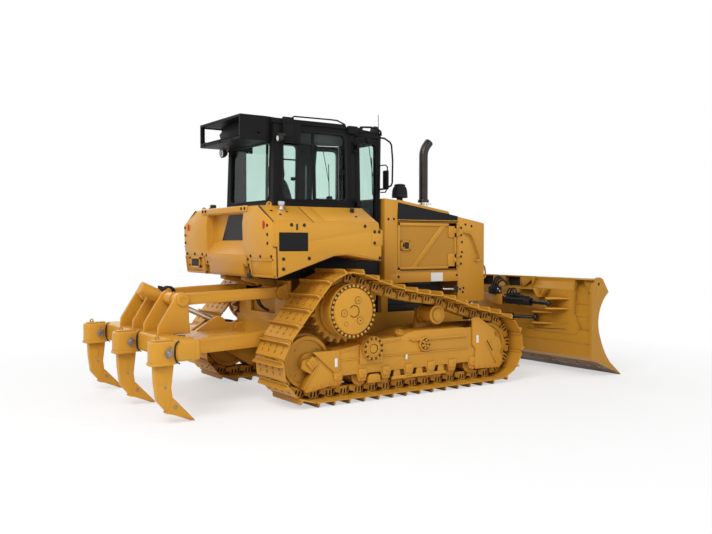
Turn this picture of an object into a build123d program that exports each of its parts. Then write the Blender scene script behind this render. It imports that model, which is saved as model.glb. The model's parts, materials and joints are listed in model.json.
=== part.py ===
"""A mid-size crawler dozer: high-drive tracks, six-way blade, three-shank parallelogram ripper, closed cab.

Millimetres. +X is forward, +Y is left, +Z is up and the tracks stand on z = 0.
Inside this file x = 0 is the rear idler's axle. Every solid is moved by X_SHIFT when it is written,
so that the written model is centred between the ripper's pockets and the blade's edge.
"""
from math import atan2, cos, degrees, hypot, pi, radians, sin, sqrt
import os

from build123d import *

# Driving dimensions of the machine
PITCH = 190.0             # one track shoe to the next
SHOE_COUNT = 40           # shoes on each track
GAUGE = 1890.0            # between the two tracks' centre lines
SHOE_WIDTH = 610.0
WHEELBASE = 2580.0        # rear idler to front idler
GROUSER = 47.0            # height of the bar on each shoe
PLATE = 12.0              # thickness of a shoe's plate
PIN_DEPTH = 72.0          # track pins, inwards from the shoe's outer face
RAIL_DEPTH = 38.0         # the links' running face, inwards from the pins
IDLER_PIN_R = 328.0       # radius on which the pins turn round an idler
SPROCKET_PIN_R = 348.0    # and round a sprocket
SPROCKET_X = 460.0
SPROCKET_Z = 972.0
CARRIER_X = 1750.0
CARRIER_R = 100.0
ROLLER_R = 90.0
ROLLER_COUNT = 7
FIT = 0.3                 # between faces that touch on curved pieces

# Heights that follow from the track
PIN_Z = GROUSER + PIN_DEPTH
IDLER_Z = PIN_Z + IDLER_PIN_R
RAIL_Z = PIN_Z + RAIL_DEPTH
ROLLER_Z = RAIL_Z + ROLLER_R + FIT
HALF_GAUGE = GAUGE / 2
SHOE_IN = HALF_GAUGE - SHOE_WIDTH / 2
SHOE_OUT = HALF_GAUGE + SHOE_WIDTH / 2
CARRIER_PIN_Z = 1017.0    # the slack run's pins over the carrier roller
# Half a link's chord brings its running face this near to a wheel's axle
IDLER_TREAD_R = sqrt(IDLER_PIN_R ** 2 - (PITCH / 2) ** 2) - RAIL_DEPTH - FIT

# Frame and engine
FRAME_HALF = 360.0        # outer faces of the main frame
FRAME_BOTTOM = 380.0
DECK_Z = 1300.0           # where the cab and the tank saddle sit
RAIL_TOP = 850.0          # the two engine rails
FRAME_REAR = 70.0
FRAME_FRONT = 2780.0
SHAFT_X = 764.0           # pivot shaft of the roller frames
SHAFT_Z = 548.0
SHAFT_R = 70.0
ROLLER_FRAME_IN = 760.0   # inner and outer faces of a roller frame
ROLLER_FRAME_OUT = 1120.0

# Bodywork
STACK = ((2350.0, -20.0), 64.0)   # exhaust: x, y and the radius of its foot
INTAKE = ((1950.0, -50.0), 45.0)  # air intake: x, y and the radius of its neck
HOOD_REAR = 1430.0
HOOD_SPLIT = 2600.0       # hood to radiator guard
NOSE_X = 3050.0
HOOD_HALF = 470.0
HOOD_BOTTOM = 1210.0
SHEET = 14.0              # the thickness of the bodywork's plates
DOOR_X0 = 1630.0          # engine side door
DOOR_X1 = 2570.0
DOOR_Z0 = 1370.0
DOOR_Z1 = 1945.0
DOOR_GAP = 6.0            # running gap around an engine door
HINGE_R = 9.0
HINGE_X = 2573.0          # engine doors' hinge line
DOOR_HINGES = (1450.0, 1820.0)
TANK_HALF = 1134.0
TANK_REAR = -455.0
TANK_TOP = 2080.0
TANK_BOTTOM = 1330.0
TANK_RIDGE = 1904.0       # height of the bend in the fender's side
FENDER_IN = 615.0
CAB_BOTTOM = DECK_Z
CAB_TOP = 2985.0
ANTENNA_TOP = 3228.0
CAB_WALL = 50.0
GLASS = 6.0
CAB_DOOR_GAP = 12.0
CAB_HINGE = (940.0, 616.0)        # x, y of the left cab door's hinge line
CAB_HINGES = (1620.0, 2100.0, 2760.0)

# Blade and its frame
ARM_X = 1150.0            # C-frame trunnions on the main frame
ARM_Z = 500.0
ARM_PIN_R = 50.0
ARM_IN = 515.0
ARM_OUT = 615.0
LIFT_EYE = (2980.0, 360.0)        # x, z of the lift rods' eyes at rest
LIFT_TRUNNION = (2940.0, 1115.0)  # x, z of the lift barrels' trunnions
LIFT_Y = 330.0
LIFT_PIN_R = 30.0
LIFT_BARREL_R = 50.0
LIFT_ROD_R = 30.0
YOKE_X = 3470.0           # vertical axis that the blade angles on
YOKE_PIN_R = 28.0
NOSE_Z0 = 380.0           # C-frame's cross beam and nose, bottom and top
NOSE_Z1 = 620.0
TRUNNION_R = 60.0
EYE_PIN_R = 18.0
GIMBAL_FOOT = 62.0        # from an angle cylinder's axis down to its turning foot
ANGLE_EYE_R = 40.0
TILT_EYE_R = 42.0
TILT_Z = 520.0            # height of the axis that the blade tilts on
ANGLE_BASE = (3280.0, 140.0, 710.0)
ANGLE_LUG = (3720.0, 750.0, 710.0)
TILT_BASE = (3580.0, -280.0, 930.0)
TILT_LUG = (3620.0, -1070.0, 915.0)
BLADE_HALF = 1636.0
BLADE_BACK = 3800.0
EDGE_TIP_X = 4364.0
EDGE_TIP_Z = 3.0
END_PLATE = 36.0
LIFT_HOLE = (3911.0, 1174.0)      # x, z of the lifting hole in each end plate
LIFT_HOLE_R = 22.0

# Ripper: two pairs of links make a parallelogram
LINK_TOP_FRONT = (-38.0, 1157.0)
LINK_LOW_FRONT = (-38.0, 677.0)
LINK_RUN = (-1138.0, -40.5)       # from a link's front pin to its rear pin
UPPER_LINK_IN = 450.0
UPPER_LINK_OUT = 550.0
LOWER_LINK_IN = 500.0
LOWER_LINK_OUT = 620.0
LINK_PIN_R = 32.0
RIPPER_PIN_R = 40.0
RIPPER_ROD_R = 30.0
LINK_EYE_R = 64.0
HUMP_SLOT = 40.0          # half the slot that the ripper rod's eye lies in
INNER_PLATE = 150.0       # inner faces of the plates beside the ripper cylinder
BEAM_PLATE = 40.0
HUMP_EYE = (-551.0, 826.0)        # the ripper cylinder's rod eye on the lower frame
SHANK_Y = (-1050.0, 0.0, 1050.0)
BEAM_HALF = 1145.0
POCKET_REAR = -1703.0

X_SHIFT = -(POCKET_REAR + EDGE_TIP_X) / 2

SIDE_GAP = 5.0            # beside a piece that swings between two plates

LINK_TOP_REAR = (LINK_TOP_FRONT[0] + LINK_RUN[0], LINK_TOP_FRONT[1] + LINK_RUN[1])
LINK_LOW_REAR = (LINK_LOW_FRONT[0] + LINK_RUN[0], LINK_LOW_FRONT[1] + LINK_RUN[1])


# Shapes that many pieces use

def block(x0, x1, y0, y1, z0, z1):
    """A box given by its faces."""
    size = (x1 - x0, y1 - y0, z1 - z0)
    return Pos((x0 + x1) / 2, (y0 + y1) / 2, (z0 + z1) / 2) * Box(*size)


def side_face(points, y):
    """A polygon of x, z points in the plane at y, its normal towards -Y."""
    plane = Plane(origin=(0, y, 0), x_dir=(1, 0, 0), z_dir=(0, -1, 0))
    return plane * make_face(Polyline(*points, close=True))


def side_plate(points, y0, y1):
    """A polygon of x, z points, as thick as from y0 to y1."""
    return extrude(side_face(points, y1), amount=y1 - y0)


def plan_plate(points, z0, z1):
    """A polygon of x, y points, from z0 up to z1."""
    face = Pos(0, 0, z0) * make_face(Polyline(*points, close=True))
    return extrude(face, amount=z1 - z0)


def cross_plate(points, x0, x1):
    """A polygon of y, z points, from x0 forward to x1."""
    plane = Plane(origin=(x0, 0, 0), x_dir=(0, 1, 0), z_dir=(1, 0, 0))
    return extrude(plane * make_face(Polyline(*points, close=True)), amount=x1 - x0)


def rod(start, end, radius):
    """A round bar between two points."""
    line = Vector(*end) - Vector(*start)
    plane = Plane(origin=start, z_dir=line.normalized())
    return extrude(plane * Circle(radius), amount=line.length)


def disc(x, z, radius, y0, y1):
    """A round bar along Y."""
    return rod((x, y0, z), (x, y1, z), radius)


def both(shape):
    """A shape and its mirror image on the machine's other side."""
    return [shape, mirror(shape, about=Plane.XZ)]


def joined(shapes):
    """All the shapes as one, fused where they meet."""
    first, *rest = shapes
    return first.fuse(*rest) if rest else first


def apart(shapes):
    """Several solids as one piece, without fusing them."""
    solids = [solid for shape in shapes for solid in shape.solids()]
    return Compound(solids)


def turned(point, centre, angle):
    """An x, z point, turned upwards about a centre for points ahead of it."""
    dx, dz = point[0] - centre[0], point[1] - centre[1]
    turn = radians(angle)
    return (centre[0] + dx * cos(turn) - dz * sin(turn), centre[1] + dx * sin(turn) + dz * cos(turn))


# Tracks and what carries them

def sagged(start, end, sag):
    """A slack run of track from one x, z point to the next, hanging by sag at its middle."""
    middle = ((start[0] + end[0]) / 2, (start[1] + end[1]) / 2 - sag)
    return ThreePointArc(start, middle, end)


def on_circle(centre, radius, angle):
    turn = radians(angle)
    return (centre[0] + radius * cos(turn), centre[1] + radius * sin(turn))


def pin_points():
    """The track pins' x, z places, once round the loop from under the rear idler."""
    rear, front = (0.0, IDLER_Z), (WHEELBASE, IDLER_Z)
    sprocket = (SPROCKET_X, SPROCKET_Z)
    carrier = (CARRIER_X, CARRIER_PIN_Z)
    front_top = on_circle(front, IDLER_PIN_R, 76)
    sprocket_front = on_circle(sprocket, SPROCKET_PIN_R, 72)
    sprocket_rear = on_circle(sprocket, SPROCKET_PIN_R, 138)
    rear_back = on_circle(rear, IDLER_PIN_R, 138)
    ground_rear = (0.0, PIN_Z)
    ground_front = (WHEELBASE, PIN_Z)
    loop = Wire([
        Line(ground_rear, ground_front),
        ThreePointArc(ground_front, on_circle(front, IDLER_PIN_R, 0), front_top),
        sagged(front_top, carrier, 30),
        sagged(carrier, sprocket_front, 50),
        ThreePointArc(sprocket_front, on_circle(sprocket, SPROCKET_PIN_R, 105), sprocket_rear),
        Line(sprocket_rear, rear_back),
        ThreePointArc(rear_back, on_circle(rear, IDLER_PIN_R, 200), ground_rear),
    ])
    places = [loop.position_at(i / SHOE_COUNT) for i in range(SHOE_COUNT)]
    return [(place.X, place.Y) for place in places]


def carrier_z(pins):
    """The carrier roller's axle, just under the straight link that passes over it."""
    for start, end in zip(pins, pins[1:]):
        if end[0] <= CARRIER_X <= start[0] and start[1] > IDLER_Z:
            slope = (start[1] - end[1]) / (start[0] - end[0])
            over = end[1] + slope * (CARRIER_X - end[0])
            return over - (RAIL_DEPTH + CARRIER_R + FIT) * hypot(1, slope)
    raise ValueError("no link passes over the carrier roller")


def loop_offset(pins, out):
    """The pins' polygon, moved outwards, or inwards if out is negative, corner by corner."""
    moved = []
    count = len(pins)
    for i, pin in enumerate(pins):
        before, after = pins[i - 1], pins[(i + 1) % count]
        lean_in = atan2(pin[1] - before[1], pin[0] - before[0])
        lean_out = atan2(after[1] - pin[1], after[0] - pin[0])
        turn = (lean_out - lean_in + pi) % (2 * pi) - pi
        lean = lean_in + turn / 2 - pi / 2
        reach = out / cos(turn / 2)
        moved.append((pin[0] + reach * cos(lean), pin[1] + reach * sin(lean)))
    return moved


def shoe_outline(pins):
    """The shoes' outer faces, with a bar standing up near each shoe's front."""
    corners = loop_offset(pins, PIN_DEPTH)
    bar_place, bar_foot, bar_top = 0.14, 22.0, 12.0
    points = []
    for i, corner in enumerate(corners):
        after = corners[(i + 1) % len(corners)]
        run = hypot(after[0] - corner[0], after[1] - corner[1])
        along = ((after[0] - corner[0]) / run, (after[1] - corner[1]) / run)
        out = (along[1], -along[0])
        points.append(corner)
        steps = [(-bar_foot / 2, 0), (-bar_top / 2, GROUSER), (bar_top / 2, GROUSER), (bar_foot / 2, 0)]
        for shift, height in steps:
            reach = bar_place * run + shift
            points.append((corner[0] + reach * along[0] + height * out[0],
                           corner[1] + reach * along[1] + height * out[1]))
    return points


def track(side):
    """One track as a fixed loop: shoes with their bars, and the two rows of links."""
    pins = pin_points()
    plate_in = loop_offset(pins, PIN_DEPTH - PLATE)
    rail_in = loop_offset(pins, -RAIL_DEPTH)
    shoes = side_plate(shoe_outline(pins), SHOE_IN, SHOE_OUT) - side_plate(plate_in, SHOE_IN, SHOE_OUT)
    # The links reach halfway into the plates, so that they fuse with them
    seat_in = loop_offset(pins, PIN_DEPTH - PLATE / 2)
    rails = []
    for middle in (HALF_GAUGE - 67.5, HALF_GAUGE + 67.5):
        y0, y1 = middle - 22.5, middle + 22.5
        rails.append(side_plate(seat_in, y0, y1) - side_plate(rail_in, y0, y1))
    loop = joined([shoes, *rails])
    return loop if side > 0 else mirror(loop, about=Plane.XZ)


def idler(x):
    """A track idler with its centre flange, on an axle held by the roller frame."""
    flange_half, tread_half, hub_half = 40.0, 105.0, 150.0
    pieces = [
        disc(x, IDLER_Z, IDLER_TREAD_R, HALF_GAUGE - tread_half, HALF_GAUGE + tread_half),
        disc(x, IDLER_Z, IDLER_TREAD_R + 25, HALF_GAUGE - flange_half, HALF_GAUGE + flange_half),
        disc(x, IDLER_Z, 75, HALF_GAUGE - hub_half, HALF_GAUGE + hub_half),
    ]
    return joined(pieces)


def roller(x, z, radius, y0, y1):
    """A double-flanged roller on its shaft, the shaft's ends at y0 and y1."""
    tread_half, flange = 105.0, 22.0
    pieces = [disc(x, z, radius, HALF_GAUGE - tread_half, HALF_GAUGE + tread_half),
              disc(x, z, 40, y0, y1)]
    for y in (HALF_GAUGE - tread_half - flange, HALF_GAUGE + tread_half):
        pieces.append(disc(x, z, radius + 14, y, y + flange))
    return joined(pieces)


def roller_places():
    """The bottom rollers' x places, evenly between the idlers."""
    first, last = 330.0, WHEELBASE - 330.0
    step = (last - first) / (ROLLER_COUNT - 1)
    return [first + i * step for i in range(ROLLER_COUNT)]


def track_wheels():
    """Idlers, bottom rollers and the carrier rollers of both sides."""
    height = carrier_z(pin_points())
    frame_in, frame_out = ROLLER_FRAME_IN + 20, ROLLER_FRAME_OUT - 20
    shapes = [idler(0), idler(WHEELBASE)]
    for x in roller_places():
        shapes.append(roller(x, ROLLER_Z, ROLLER_R, frame_in, frame_out))
    shapes.append(roller(CARRIER_X, height, CARRIER_R, ROLLER_FRAME_IN, HALF_GAUGE + 150))
    return apart([piece for shape in shapes for piece in both(shape)])


def roller_frame():
    """One side's roller frame: the box beam, roller skirts, idler guards, shaft cap and carrier post."""
    front = WHEELBASE - IDLER_PIN_R - 52
    beam = side_plate([(339, 554), (620, 600), (900, 640), (1180, 640), (1300, 690), (front - 40, 690),
                       (front, 560), (front, 320), (339, 320)], ROLLER_FRAME_IN, ROLLER_FRAME_OUT)
    pieces = [beam]
    skirt_in, skirt_out = 20.0, 20.0
    hang = [(300, 330), (front + 30, 330), (front + 30, 283), (300, 283)]
    pieces.append(side_plate(hang, ROLLER_FRAME_OUT - skirt_out, ROLLER_FRAME_OUT))
    pieces.append(side_plate(hang, ROLLER_FRAME_IN, ROLLER_FRAME_IN + skirt_in))
    for y0, y1 in ((ROLLER_FRAME_IN, ROLLER_FRAME_IN + skirt_in),
                   (ROLLER_FRAME_OUT - skirt_out, ROLLER_FRAME_OUT)):
        for x in roller_places():
            foot = [(x - 75, 300), (x + 75, 300), (x + 45, ROLLER_Z - 45), (x - 45, ROLLER_Z - 45)]
            pieces.append(side_plate(foot, y0, y1))
    guard_rear = [(520, 560), (339, 554), (-95, 480), (-110, 400), (260, 180), (330, 190), (420, 330)]
    guard_front = [(front - 50, 690), (front + 220, 690), (WHEELBASE + 120, 520), (WHEELBASE + 160, 430),
                   (WHEELBASE + 120, 330), (front + 100, 190), (front + 40, 190), (front - 50, 330)]
    for y0, y1 in ((HALF_GAUGE - 175, HALF_GAUGE - 150), (HALF_GAUGE + 150, HALF_GAUGE + 175)):
        pieces.append(side_plate(guard_rear, y0, y1))
        pieces.append(side_plate(guard_front, y0, y1))
    pieces.append(disc(SHAFT_X, SHAFT_Z, 132, ROLLER_FRAME_OUT, ROLLER_FRAME_OUT + 55))
    pieces.append(disc(SHAFT_X, SHAFT_Z, 132, ROLLER_FRAME_OUT - 120, ROLLER_FRAME_OUT))
    pieces.append(disc(1510, 543, 78, ROLLER_FRAME_OUT, ROLLER_FRAME_OUT + 30))
    height = carrier_z(pin_points())
    post = side_plate([(CARRIER_X - 90, 690), (CARRIER_X + 90, 690), (CARRIER_X + 60, height + 60),
                       (CARRIER_X - 60, height + 60)], ROLLER_FRAME_IN - 40, ROLLER_FRAME_IN)
    pieces.append(post)
    foot = block(CARRIER_X - 90, CARRIER_X + 90, ROLLER_FRAME_IN - 40, ROLLER_FRAME_IN + 20, 640, 690)
    pieces.append(foot)
    body = joined(pieces)
    cuts = [disc(0, IDLER_Z, 40, 0, SHOE_OUT), disc(WHEELBASE, IDLER_Z, 40, 0, SHOE_OUT)]
    for x in roller_places():
        cuts.append(disc(x, ROLLER_Z, ROLLER_R + 25, ROLLER_FRAME_IN + skirt_in,
                         ROLLER_FRAME_OUT - skirt_out))
    return body - cuts


def roller_frames():
    return apart(both(roller_frame()))


def sprocket():
    """A sprocket's toothed ring, its hub and the cover of its drive."""
    tooth_count = 23
    root_r, tip_r = SPROCKET_PIN_R - 32, SPROCKET_PIN_R + 14
    points = []
    for i in range(tooth_count):
        for share, radius in ((-0.30, root_r), (-0.12, tip_r), (0.12, tip_r), (0.30, root_r)):
            angle = 360 * (i + share) / tooth_count
            points.append(on_circle((SPROCKET_X, SPROCKET_Z), radius, angle))
    return side_plate(points, HALF_GAUGE - 35, HALF_GAUGE + 35)


def final_drives():
    """Both final drives: axle housing, sprocket and the round cover outside it."""
    x, z = SPROCKET_X, SPROCKET_Z
    cover_r = 289.0
    face_y = SHOE_OUT
    stack = [
        disc(x, z, 255, FRAME_HALF, FRAME_HALF + 40),
        disc(x, z, 215, FRAME_HALF + 40, HALF_GAUGE - 125),
        disc(x, z, 262, HALF_GAUGE - 125, HALF_GAUGE - 35),
        sprocket(),
        disc(x, z, cover_r - 15, HALF_GAUGE + 35, face_y - 60),
        disc(x, z, cover_r, face_y - 60, face_y - 18),
        disc(x, z, cover_r - 42, face_y - 18, face_y - 4),
        disc(x, z, 95, face_y - 4, face_y),
    ]
    for angle in (60, 180, 300):
        px, pz = on_circle((x, z), 165, angle)
        stack.append(disc(px, pz, 34, face_y - 4, face_y + 8))
    return apart(both(joined(stack)))


# Chassis

def main_frame():
    """Engine rails, belly plates, transmission case, pivot shaft, equalizer bar and blade trunnions."""
    case = side_plate([(FRAME_REAR, 560), (300, FRAME_BOTTOM), (950, FRAME_BOTTOM), (950, RAIL_TOP),
                       (1380, 1000), (1380, DECK_Z), (FRAME_REAR, DECK_Z)], -FRAME_HALF, FRAME_HALF)
    pieces = [case]
    rail_in = FRAME_HALF - 70
    rail = [(950, FRAME_BOTTOM), (FRAME_FRONT - 120, FRAME_BOTTOM), (FRAME_FRONT, 520),
            (FRAME_FRONT, RAIL_TOP), (950, RAIL_TOP)]
    pieces += both(side_plate(rail, rail_in, FRAME_HALF))
    pieces.append(block(950, FRAME_FRONT - 120, -rail_in, rail_in, FRAME_BOTTOM, FRAME_BOTTOM + 25))
    pieces.append(block(FRAME_FRONT - 120, FRAME_FRONT, -rail_in, rail_in, 520, RAIL_TOP))
    # Stools that carry the hood's side frames and the radiator guard
    stool_out = HOOD_HALF - SHEET
    for x0, x1, top in ((1460, 1560, HOOD_BOTTOM), (HOOD_SPLIT - 100, HOOD_SPLIT + 60, 940)):
        pieces += both(block(x0, x1, rail_in, FRAME_HALF, RAIL_TOP, top))
        pieces += both(block(x0, x1, FRAME_HALF, stool_out + SHEET, top - 40, top))
    pieces.append(disc(SHAFT_X, SHAFT_Z, SHAFT_R, -ROLLER_FRAME_IN, ROLLER_FRAME_IN))
    bar_x, bar_z = 2200.0, 315.0
    pieces.append(block(bar_x - 60, bar_x + 60, -150, 150, bar_z, FRAME_BOTTOM))
    pieces.append(block(bar_x - 55, bar_x + 55, -ROLLER_FRAME_IN, ROLLER_FRAME_IN, bar_z - 40, bar_z + 40))
    pieces += both(disc(ARM_X, ARM_Z, ARM_PIN_R, FRAME_HALF, ARM_OUT + SIDE_GAP + 12))
    pieces += both(disc(ARM_X, ARM_Z, 85, FRAME_HALF, ARM_IN - SIDE_GAP))
    pieces += both(disc(ARM_X, ARM_Z, 80, ARM_OUT + SIDE_GAP, ARM_OUT + SIDE_GAP + 12))
    # Saddle under the tank
    pieces += both(side_plate([(FRAME_REAR, 1180), (FRAME_REAR, DECK_Z), (-170, DECK_Z), (-170, TANK_BOTTOM),
                               (-340, TANK_BOTTOM), (-340, DECK_Z - 15)], 200, 330))
    return joined(pieces)


def engine():
    """The engine with its radiator, as one plain block on the rails."""
    return block(1580, 2480, -270, 270, RAIL_TOP - 30, 1850) + block(1580, 2480, -350, 350, RAIL_TOP, 930)


# Bodywork

def hinge_halves(heights, x, face):
    """The fixed and the moving knuckles of an upright hinge outside a side face, with their leaves."""
    y = face + HINGE_R + 1
    fixed, moving = [], []
    knuckle, leaf = 60.0, 30.0
    for z in heights:
        moving.append(rod((x, y, z), (x, y, z + knuckle), HINGE_R))
        moving.append(block(x - leaf, x, face, y + 4, z, z + knuckle))
        for z0, z1 in ((z - 40, z - FIT), (z + knuckle + FIT, z + knuckle + 40)):
            fixed.append(rod((x, y, z0), (x, y, z1), HINGE_R))
            fixed.append(block(x, x + leaf, face, y + 4, z0, z1))
    return fixed, moving


def hood():
    """The engine hood with its cowl: a shell, open below, with a doorway on each side."""
    outline = [(HOOD_REAR, HOOD_BOTTOM), (HOOD_SPLIT, HOOD_BOTTOM), (HOOD_SPLIT, 2030), (1620, 2212),
               (HOOD_REAR, 2228)]
    shell = side_plate(outline, -HOOD_HALF, HOOD_HALF)
    inner = [(HOOD_REAR + SHEET, HOOD_BOTTOM - 10), (HOOD_SPLIT + 10, HOOD_BOTTOM - 10),
             (HOOD_SPLIT + 10, 2014), (1620, 2212 - SHEET), (HOOD_REAR + SHEET, 2228 - SHEET)]
    shell -= side_plate(inner, -HOOD_HALF + SHEET, HOOD_HALF - SHEET)
    doorway = block(DOOR_X0 - DOOR_GAP, DOOR_X1 + DOOR_GAP, -HOOD_HALF - 10, HOOD_HALF + 10,
                    DOOR_Z0 - DOOR_GAP, DOOR_Z1 + DOOR_GAP)
    shell -= doorway
    lid = side_plate([(1700, 2190), (2450, 2051), (2450, 2084), (1700, 2223)], -250, 250)
    shell = joined([shell + lid, *both(joined(hinge_halves(DOOR_HINGES, HINGE_X, HOOD_HALF)[0]))])
    holes = [rod((*place, DECK_Z), (*place, CAB_TOP), radius + FIT) for place, radius in (STACK, INTAKE)]
    return shell - holes


def engine_door(side):
    """An engine side door: a panel with a raised rim and a pressed diagonal."""
    y = HOOD_HALF
    rim, depth = 40.0, 8.0
    panel = block(DOOR_X0, DOOR_X1, y - SHEET, y, DOOR_Z0, DOOR_Z1)
    panel -= block(DOOR_X0 + rim, DOOR_X1 - rim, y - depth, y + 1, DOOR_Z0 + rim, DOOR_Z1 - rim)
    brace = [(1840, DOOR_Z0 + rim), (1930, DOOR_Z0 + rim), (2400, DOOR_Z1 - rim), (2310, DOOR_Z1 - rim)]
    panel += side_plate(brace, y - SHEET, y - 3)
    latch = block(1675, 1765, y - SHEET, y + 4, 1560, 1650)
    panel = joined([panel, latch, *hinge_halves(DOOR_HINGES, HINGE_X, y)[1]])
    return panel if side > 0 else mirror(panel, about=Plane.XZ)


def radiator_guard():
    """The nose: side plates, top, radiator and grille set back, and the lift cylinders' trunnion bearings."""
    outline = [(HOOD_SPLIT, 940), (NOSE_X, 940), (NOSE_X, 1950), (2985, 1966), (HOOD_SPLIT, 2030)]
    shell = side_plate(outline, -HOOD_HALF, HOOD_HALF)
    cavity = [(HOOD_SPLIT - 10, 930), (NOSE_X + 10, 930), (NOSE_X + 10, 1924), (2975, 1940),
              (HOOD_SPLIT - 10, 2004)]
    shell -= side_plate(cavity, -HOOD_HALF + 26, HOOD_HALF - 26)
    inner = HOOD_HALF - 26
    grille_x, core_x = 2760.0, 2660.0
    shell += block(core_x, grille_x + 20, -inner, inner, 940, 1985)
    slats = []
    slat_count = 18
    for i in range(slat_count):
        z = 1080 + i * 46
        slats.append(block(grille_x - 10, grille_x + 30, -210, 210, z, z + 22))
    shell -= slats
    x, z = LIFT_TRUNNION
    ear = [(grille_x + 20, z - 110), (x + 60, z - 60), (x + 60, z + 60), (grille_x + 20, z + 110)]
    for y0, y1 in ((LIFT_Y - 110, LIFT_Y - 85), (LIFT_Y + 85, inner)):
        shell += both(side_plate(ear, y0, y1))
    return shell - both(disc(x, z, LIFT_PIN_R + FIT, LIFT_Y - 110, LIFT_Y + 110))


def exhaust_stack():
    """Exhaust pipe with its slanted tip."""
    (x, y), foot_r = STACK
    base_z, bend_z = 2030.0, 2840.0
    pipe = rod((x, y, base_z), (x, y, bend_z), 48)
    pipe += rod((x, y, base_z), (x, y, base_z + 145), foot_r)
    tip = rod((x, y, bend_z), (x + 75, y, bend_z + 200), 50)
    ball = Pos(x, y, bend_z) * Sphere(49)
    return pipe + ball + tip


def air_cleaner():
    """The engine's air intake: a neck and a round bowl."""
    (x, y), neck_r = INTAKE
    upright = (Align.CENTER, Align.CENTER, Align.MIN)
    neck = rod((x, y, 2120), (x, y, 2260), neck_r)
    bowl = Pos(x, y, 2250) * Cone(82, 95, 110, align=upright)
    cap = Pos(x, y, 2360) * Cone(95, 62, 80, align=upright)
    return neck + bowl + cap


def rear_tank():
    """Fuel tank across the rear, with a fender on each side of the cab."""
    profile = [(-405, TANK_BOTTOM), (288, 1553), (442, 1564), (900, 1493), (863, TANK_RIDGE), (863, TANK_TOP),
               (-430, TANK_TOP), (TANK_REAR, TANK_RIDGE), (-447, 1646)]
    section = [(-TANK_HALF, TANK_BOTTOM), (TANK_HALF, TANK_BOTTOM), (TANK_HALF, TANK_RIDGE), (810, TANK_TOP),
               (-810, TANK_TOP), (-TANK_HALF, TANK_RIDGE)]
    shape = side_plate(profile, -TANK_HALF, TANK_HALF) & cross_plate(section, -500, 950)
    # Between the tracks the tank's floor is level and lies on the saddle
    shape += block(-405, -165, -FENDER_IN, FENDER_IN, TANK_BOTTOM, 1600)
    shape -= block(-165, 1000, -FENDER_IN, FENDER_IN, 1300, 2200)
    # A slot over each upper link of the ripper, and the recess in the rear face
    shape -= both(block(-500, -160, UPPER_LINK_IN - 25, UPPER_LINK_OUT + 25, 1300, 1440))
    recess = side_plate([(-500, 1550), (-448, 1550), (-330, 1700), (-330, 2010), (-500, 2010)], -465, 465)
    shape -= recess
    return shape


# Cab

def cab_half(height):
    """Half the cab's width behind its doors at a height: the walls lean in a little."""
    return 602 - 48 * (height - CAB_BOTTOM) / (CAB_TOP - CAB_BOTTOM)


def cab_outline(height, inset):
    """The cab's plan at a height, moved inwards by inset."""
    share = (height - CAB_BOTTOM) / (CAB_TOP - CAB_BOTTOM)
    half = cab_half(height) - inset
    corner_half = 430 - 20 * share - inset * 0.7
    rear = -160 + 45 * share + inset
    front = 1425 - 40 * share - inset
    post = 930 - 10 * share - inset * 0.2
    corner = 1395 - 40 * share - inset
    return [(rear, -half), (post, -half), (corner, -corner_half), (front, -corner_half + 40),
            (front, corner_half - 40), (corner, corner_half), (post, half), (rear, half)]


def cab_block(inset):
    """The cab's outer form, moved inwards by inset."""
    faces = []
    for height in (CAB_BOTTOM, CAB_TOP):
        faces.append(Pos(0, 0, height) * make_face(Polyline(*cab_outline(height, inset), close=True)))
    return loft(faces, ruled=True)


def wall_between(inset0, inset1):
    """The cab's walls from one depth to a deeper one."""
    return cab_block(inset0) - cab_block(inset1)


def door_region(shrink):
    """The space of the right door in plan, less a gap all round, from its sill to its head."""
    start, end = (945.0, -600.0), (1355.0, -443.0)
    run = hypot(end[0] - start[0], end[1] - start[1])
    along = ((end[0] - start[0]) / run, (end[1] - start[1]) / run)
    out = (along[1], -along[0])
    points = []
    for reach, depth in ((shrink, 120), (run - shrink, 120), (run - shrink, -70), (shrink, -70)):
        points.append((start[0] + reach * along[0] + depth * out[0],
                       start[1] + reach * along[1] + depth * out[1]))
    return plan_plate(points, 1480 + shrink, 2930 - shrink)


def door_window(frame_width):
    """The window in the right door."""
    return door_region(frame_width) & block(800, 1500, -900, 0, 2200, 2860)


CAB_WINDOWS = (  # name, x0, x1, y0, y1, z0, z1
    ("rear", -300, 100, -470, 470, 2160, 2780),
    ("right", 20, 840, -800, -400, 2180, 2900),
    ("left", 20, 840, 400, 800, 2180, 2900),
    ("front", 1200, 1500, -340, 340, 2200, 2880),
)


def cab_shell():
    """The cab's walls and floor with its windows and doorways cut."""
    floor = cab_block(CAB_WALL - 5) & block(-500, 2000, -900, 900, CAB_BOTTOM, CAB_BOTTOM + 40)
    shell = (wall_between(0, CAB_WALL) + floor) - both(door_region(0))
    for _, x0, x1, y0, y1, z0, z1 in CAB_WINDOWS:
        shell -= block(x0, x1, y0, y1, z0, z1)
    return joined([shell, *both(joined(cab_hinge_halves()[0]))])


def cab_hinge_halves():
    """The fixed and the moving knuckles of the left cab door, with their leaves."""
    x, y = CAB_HINGE
    knuckle, radius = 60.0, 10.0
    fixed, moving = [], []
    for z in CAB_HINGES:
        face = cab_half(z)
        moving_leaf = [(x - 2, y + 8), (x + 60, face - 14), (x + 60, face - 46), (x + 30, face - 36),
                       (x + 3, y - 8)]
        fixed_leaf = [(x - 40, face - 25), (x - 12, face - 25), (x + 2, y + 5), (x - 25, y + 5)]
        moving.append(rod((x, y, z), (x, y, z + knuckle), radius))
        moving.append(plan_plate(moving_leaf, z, z + knuckle))
        for z0, z1 in ((z - 40, z - FIT), (z + knuckle + FIT, z + knuckle + 40)):
            fixed.append(rod((x, y, z0), (x, y, z1), radius))
            fixed.append(plan_plate(fixed_leaf, z0, z1))
    return fixed, moving


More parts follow.
